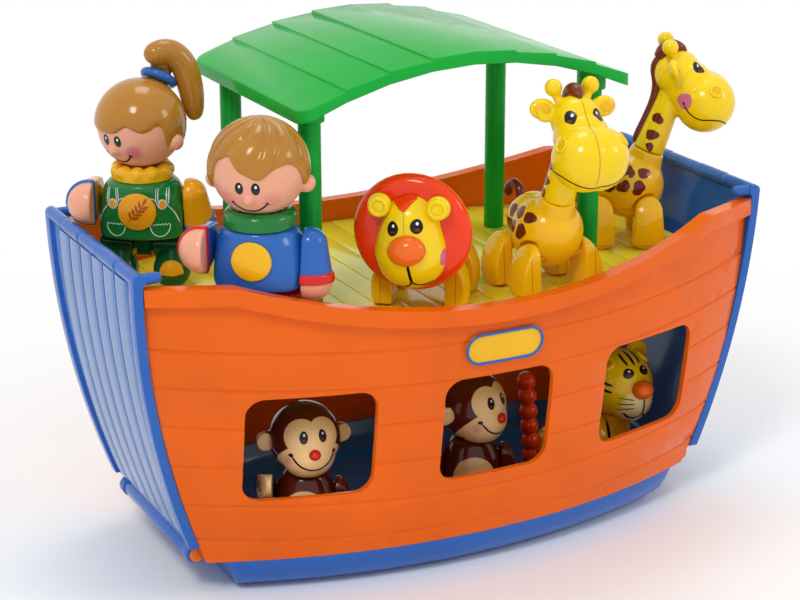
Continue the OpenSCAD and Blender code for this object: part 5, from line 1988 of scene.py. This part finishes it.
@dataclass
class Studio:
    """Camera at the photograph's view, pale floor and soft lights."""

    eye: Spot = (-0.5162, -1.0049, 0.5078)
    azimuth: float = -26.93
    elevation: float = 18.59
    lens: float = 93.715
    fade: Flat = (0.24, 0.6)
    lamps: tuple[tuple[str, Spot, float, float], ...] = (
        ("key", (-1.2, -1.1, 1.9), 0.55, 17.0),
        ("fill", (1.6, -1.3, 1.2), 0.6, 6.5),
        ("top", (0.2, 0.5, 2.2), 0.8, 9.0))

    def camera(self) -> None:
        """Sets the camera."""
        az, el = math.radians(self.azimuth), math.radians(self.elevation)
        back = Vector((math.sin(az) * math.cos(el), -math.cos(az) * math.cos(el), math.sin(el)))
        right = Vector((math.cos(az), math.sin(az), 0.0))
        data = bpy.data.cameras.new("photo_view")
        data.sensor_width, data.lens = 36.0, self.lens
        data.clip_start, data.clip_end = 0.05, 50.0
        obj = bpy.data.objects.new("photo_view", data)
        turn = Matrix((right, back.cross(right), back)).transposed().to_4x4()
        obj.matrix_world = Matrix.Translation(self.eye) @ turn
        bpy.context.scene.collection.objects.link(obj)
        bpy.context.scene.camera = obj

    def lamp(self, name: str, at: Spot, size: float, power: float) -> None:
        """Adds a square lamp that looks at the toy.

        Args:
            name: name of the lamp.
            at: its place in metres.
            size: its side in metres.
            power: its power in watts.
        """
        data = bpy.data.lights.new(name, "AREA")
        data.size, data.energy = size, power
        obj = bpy.data.objects.new(name, data)
        way = Vector((0.0, 0.0, 0.12)) - Vector(at)
        obj.matrix_world = Matrix.Translation(at) @ way.to_track_quat("-Z", "Y").to_matrix().to_4x4()
        bpy.context.scene.collection.objects.link(obj)

    @staticmethod
    def join(tree: bpy.types.NodeTree, operation: str, *values: bpy.types.NodeSocket) -> bpy.types.NodeSocket:
        """Joins values by one operation.

        Args:
            tree: nodes to add to.
            operation: the operation.
            values: values to join.

        Returns:
            The joined value.
        """
        total = values[0]
        for value in values[1:]:
            node = tree.nodes.new("ShaderNodeMath")
            node.operation = operation
            tree.links.new(total, node.inputs[0])
            tree.links.new(value, node.inputs[1])
            total = node.outputs["Value"]
        return total

    @staticmethod
    def seen(tree: bpy.types.NodeTree) -> bpy.types.NodeSocket:
        """Masks the rays that show the backdrop: straight, in a gloss or through a clear piece.

        Args:
            tree: nodes to add to.

        Returns:
            The mask.
        """
        rays = tree.nodes.new("ShaderNodeLightPath").outputs
        return Studio.join(tree, "MAXIMUM", rays["Is Camera Ray"], rays["Is Glossy Ray"],
                           rays["Is Transmission Ray"])

    def floor(self) -> None:
        """Lays the pale floor, which turns plain white away from the toy."""
        half = 6.0
        floor = Shaper.link("floor", bpy.data.meshes.new("floor"))
        corners = [(-half, -half, 0), (half, -half, 0), (half, half, 0), (-half, half, 0)]
        floor.data.from_pydata(corners, [], [(0, 1, 2, 3)])
        made = bpy.data.materials.new("floor_white")
        made.use_nodes = True
        tree = made.node_tree
        shader = tree.nodes["Principled BSDF"]
        shader.inputs["Base Color"].default_value = (0.95, 0.95, 0.95, 1.0)
        shader.inputs["Roughness"].default_value = 0.6
        place = tree.nodes.new("ShaderNodeTexCoord")
        reach = tree.nodes.new("ShaderNodeVectorMath")
        reach.operation = "LENGTH"
        away = tree.nodes.new("ShaderNodeMapRange")
        away.interpolation_type = "SMOOTHSTEP"
        away.inputs["From Min"].default_value, away.inputs["From Max"].default_value = self.fade
        white = tree.nodes.new("ShaderNodeEmission")
        mix = tree.nodes.new("ShaderNodeMixShader")
        tree.links.new(place.outputs["Object"], reach.inputs[0])
        tree.links.new(reach.outputs["Value"], away.inputs["Value"])
        shown = self.join(tree, "MULTIPLY", self.seen(tree), away.outputs["Result"])
        tree.links.new(shown, mix.inputs["Fac"])
        tree.links.new(shader.outputs["BSDF"], mix.inputs[1])
        tree.links.new(white.outputs["Emission"], mix.inputs[2])
        tree.links.new(mix.outputs["Shader"], tree.nodes["Material Output"].inputs["Surface"])
        floor.data.materials.append(made)

    def sky(self) -> None:
        """Lights the scene from all round, white behind the toy."""
        world = bpy.data.worlds.new("white_room")
        world.use_nodes = True
        bpy.context.scene.world = world
        nodes, links = world.node_tree.nodes, world.node_tree.links
        level = nodes.new("ShaderNodeMapRange")
        level.inputs["To Min"].default_value = 0.66
        level.inputs["To Max"].default_value = 1.0
        links.new(self.seen(world.node_tree), level.inputs["Value"])
        back = nodes["Background"]
        back.inputs["Color"].default_value = (1.0, 1.0, 1.0, 1.0)
        links.new(level.outputs["Result"], back.inputs["Strength"])

    def build(self) -> None:
        """Builds the studio."""
        self.camera()
        self.floor()
        self.sky()
        for lamp in self.lamps:
            self.lamp(*lamp)
        bpy.context.scene.view_settings.view_transform = "Standard"


# Edges of the hair: turn from the front and angle from the crown, in degrees
GIRL_HAIR = (
    (-180, 118), (-130, 118), (-112, 122), (-104, 106), (-97, 98), (-90, 108), (-81, 113), (-72, 87),
    (-62, 83), (-45, 90), (-24, 93), (-8, 92.5), (8, 90.7), (18, 84.5), (24, 82), (31, 84.5), (44, 89.5),
    (54, 87), (63, 82), (71, 84), (78, 102), (83, 113), (88, 110), (93, 100), (99, 97), (105, 105),
    (112, 122), (130, 119))
BOY_HAIR = (
    (-180, 118), (-120, 116), (-100, 118), (-88, 116), (-74, 112), (-62, 104), (-54, 93), (-47, 76),
    (-38, 71), (-27, 66.7), (-12, 80.7), (4, 88.5), (15, 91), (30, 81), (51, 75), (62, 80), (71, 89),
    (82, 106), (90, 113), (97, 108), (104, 104), (120, 116))


def main() -> None:
    """Builds the toy and its studio."""
    deck, hold = 147.3, 5.3
    Hull().build()
    Ramp("bow_ramp", -1).build()
    Ramp("stern_ramp", 1).build()
    Topside().build()
    Girl("girl", Stand((-145, 35, deck), -31), torso_z=32.0, head_r=23.4, head_turn=-32.0, shirt=Coats.LEAF,
         hips=Coats.DARK_GREEN, sleeve=Coats.GOLD, cuff=Coats.CLOTH_BLUE, legs=Coats.DARK_GREEN,
         collar=Coats.BADGE, badge=Coats.BADGE_GOLD, swings=(-20.0, 88.0), hair=HairCap(23.4, GIRL_HAIR),
         cheek=0.75).build()
    Person("boy", Stand((-119, -66, deck), -38), torso_z=28.5, head_r=24.4, head_turn=0.0,
           shirt=Coats.CLOTH_BLUE, hips=Coats.NAVY, sleeve=Coats.CLOTH_BLUE, cuff=Coats.RED, legs=Coats.RED,
           collar=Coats.LEAF, badge=Coats.BADGE, swings=(4.0, 88.0),
           hair=HairCap(24.4, BOY_HAIR, thick=1.9, strands=11, sweep=50.0)).build()
    Lion("lion", Stand((-13, -47, deck), -39)).build()
    Giraffe("giraffe_one", Stand((51, -61, deck), 2), neck_turn=-4.0, gaze=-7.0).build()
    Giraffe("giraffe_two", Stand((139, -4, deck), 63)).build()
    Monkey("monkey_one", Stand((-90, -52, hold), -27), head_turn=18.0, swings=(0.0, 115.0)).build()
    Monkey("monkey_two", Stand((13, -52, hold), -22), head_turn=45.0, swings=(0.0, 10.0)).build()
    Tiger("tiger", Stand((97, -32, hold), 80)).build()
    Studio().build()


if __name__ == "__main__":
    main()
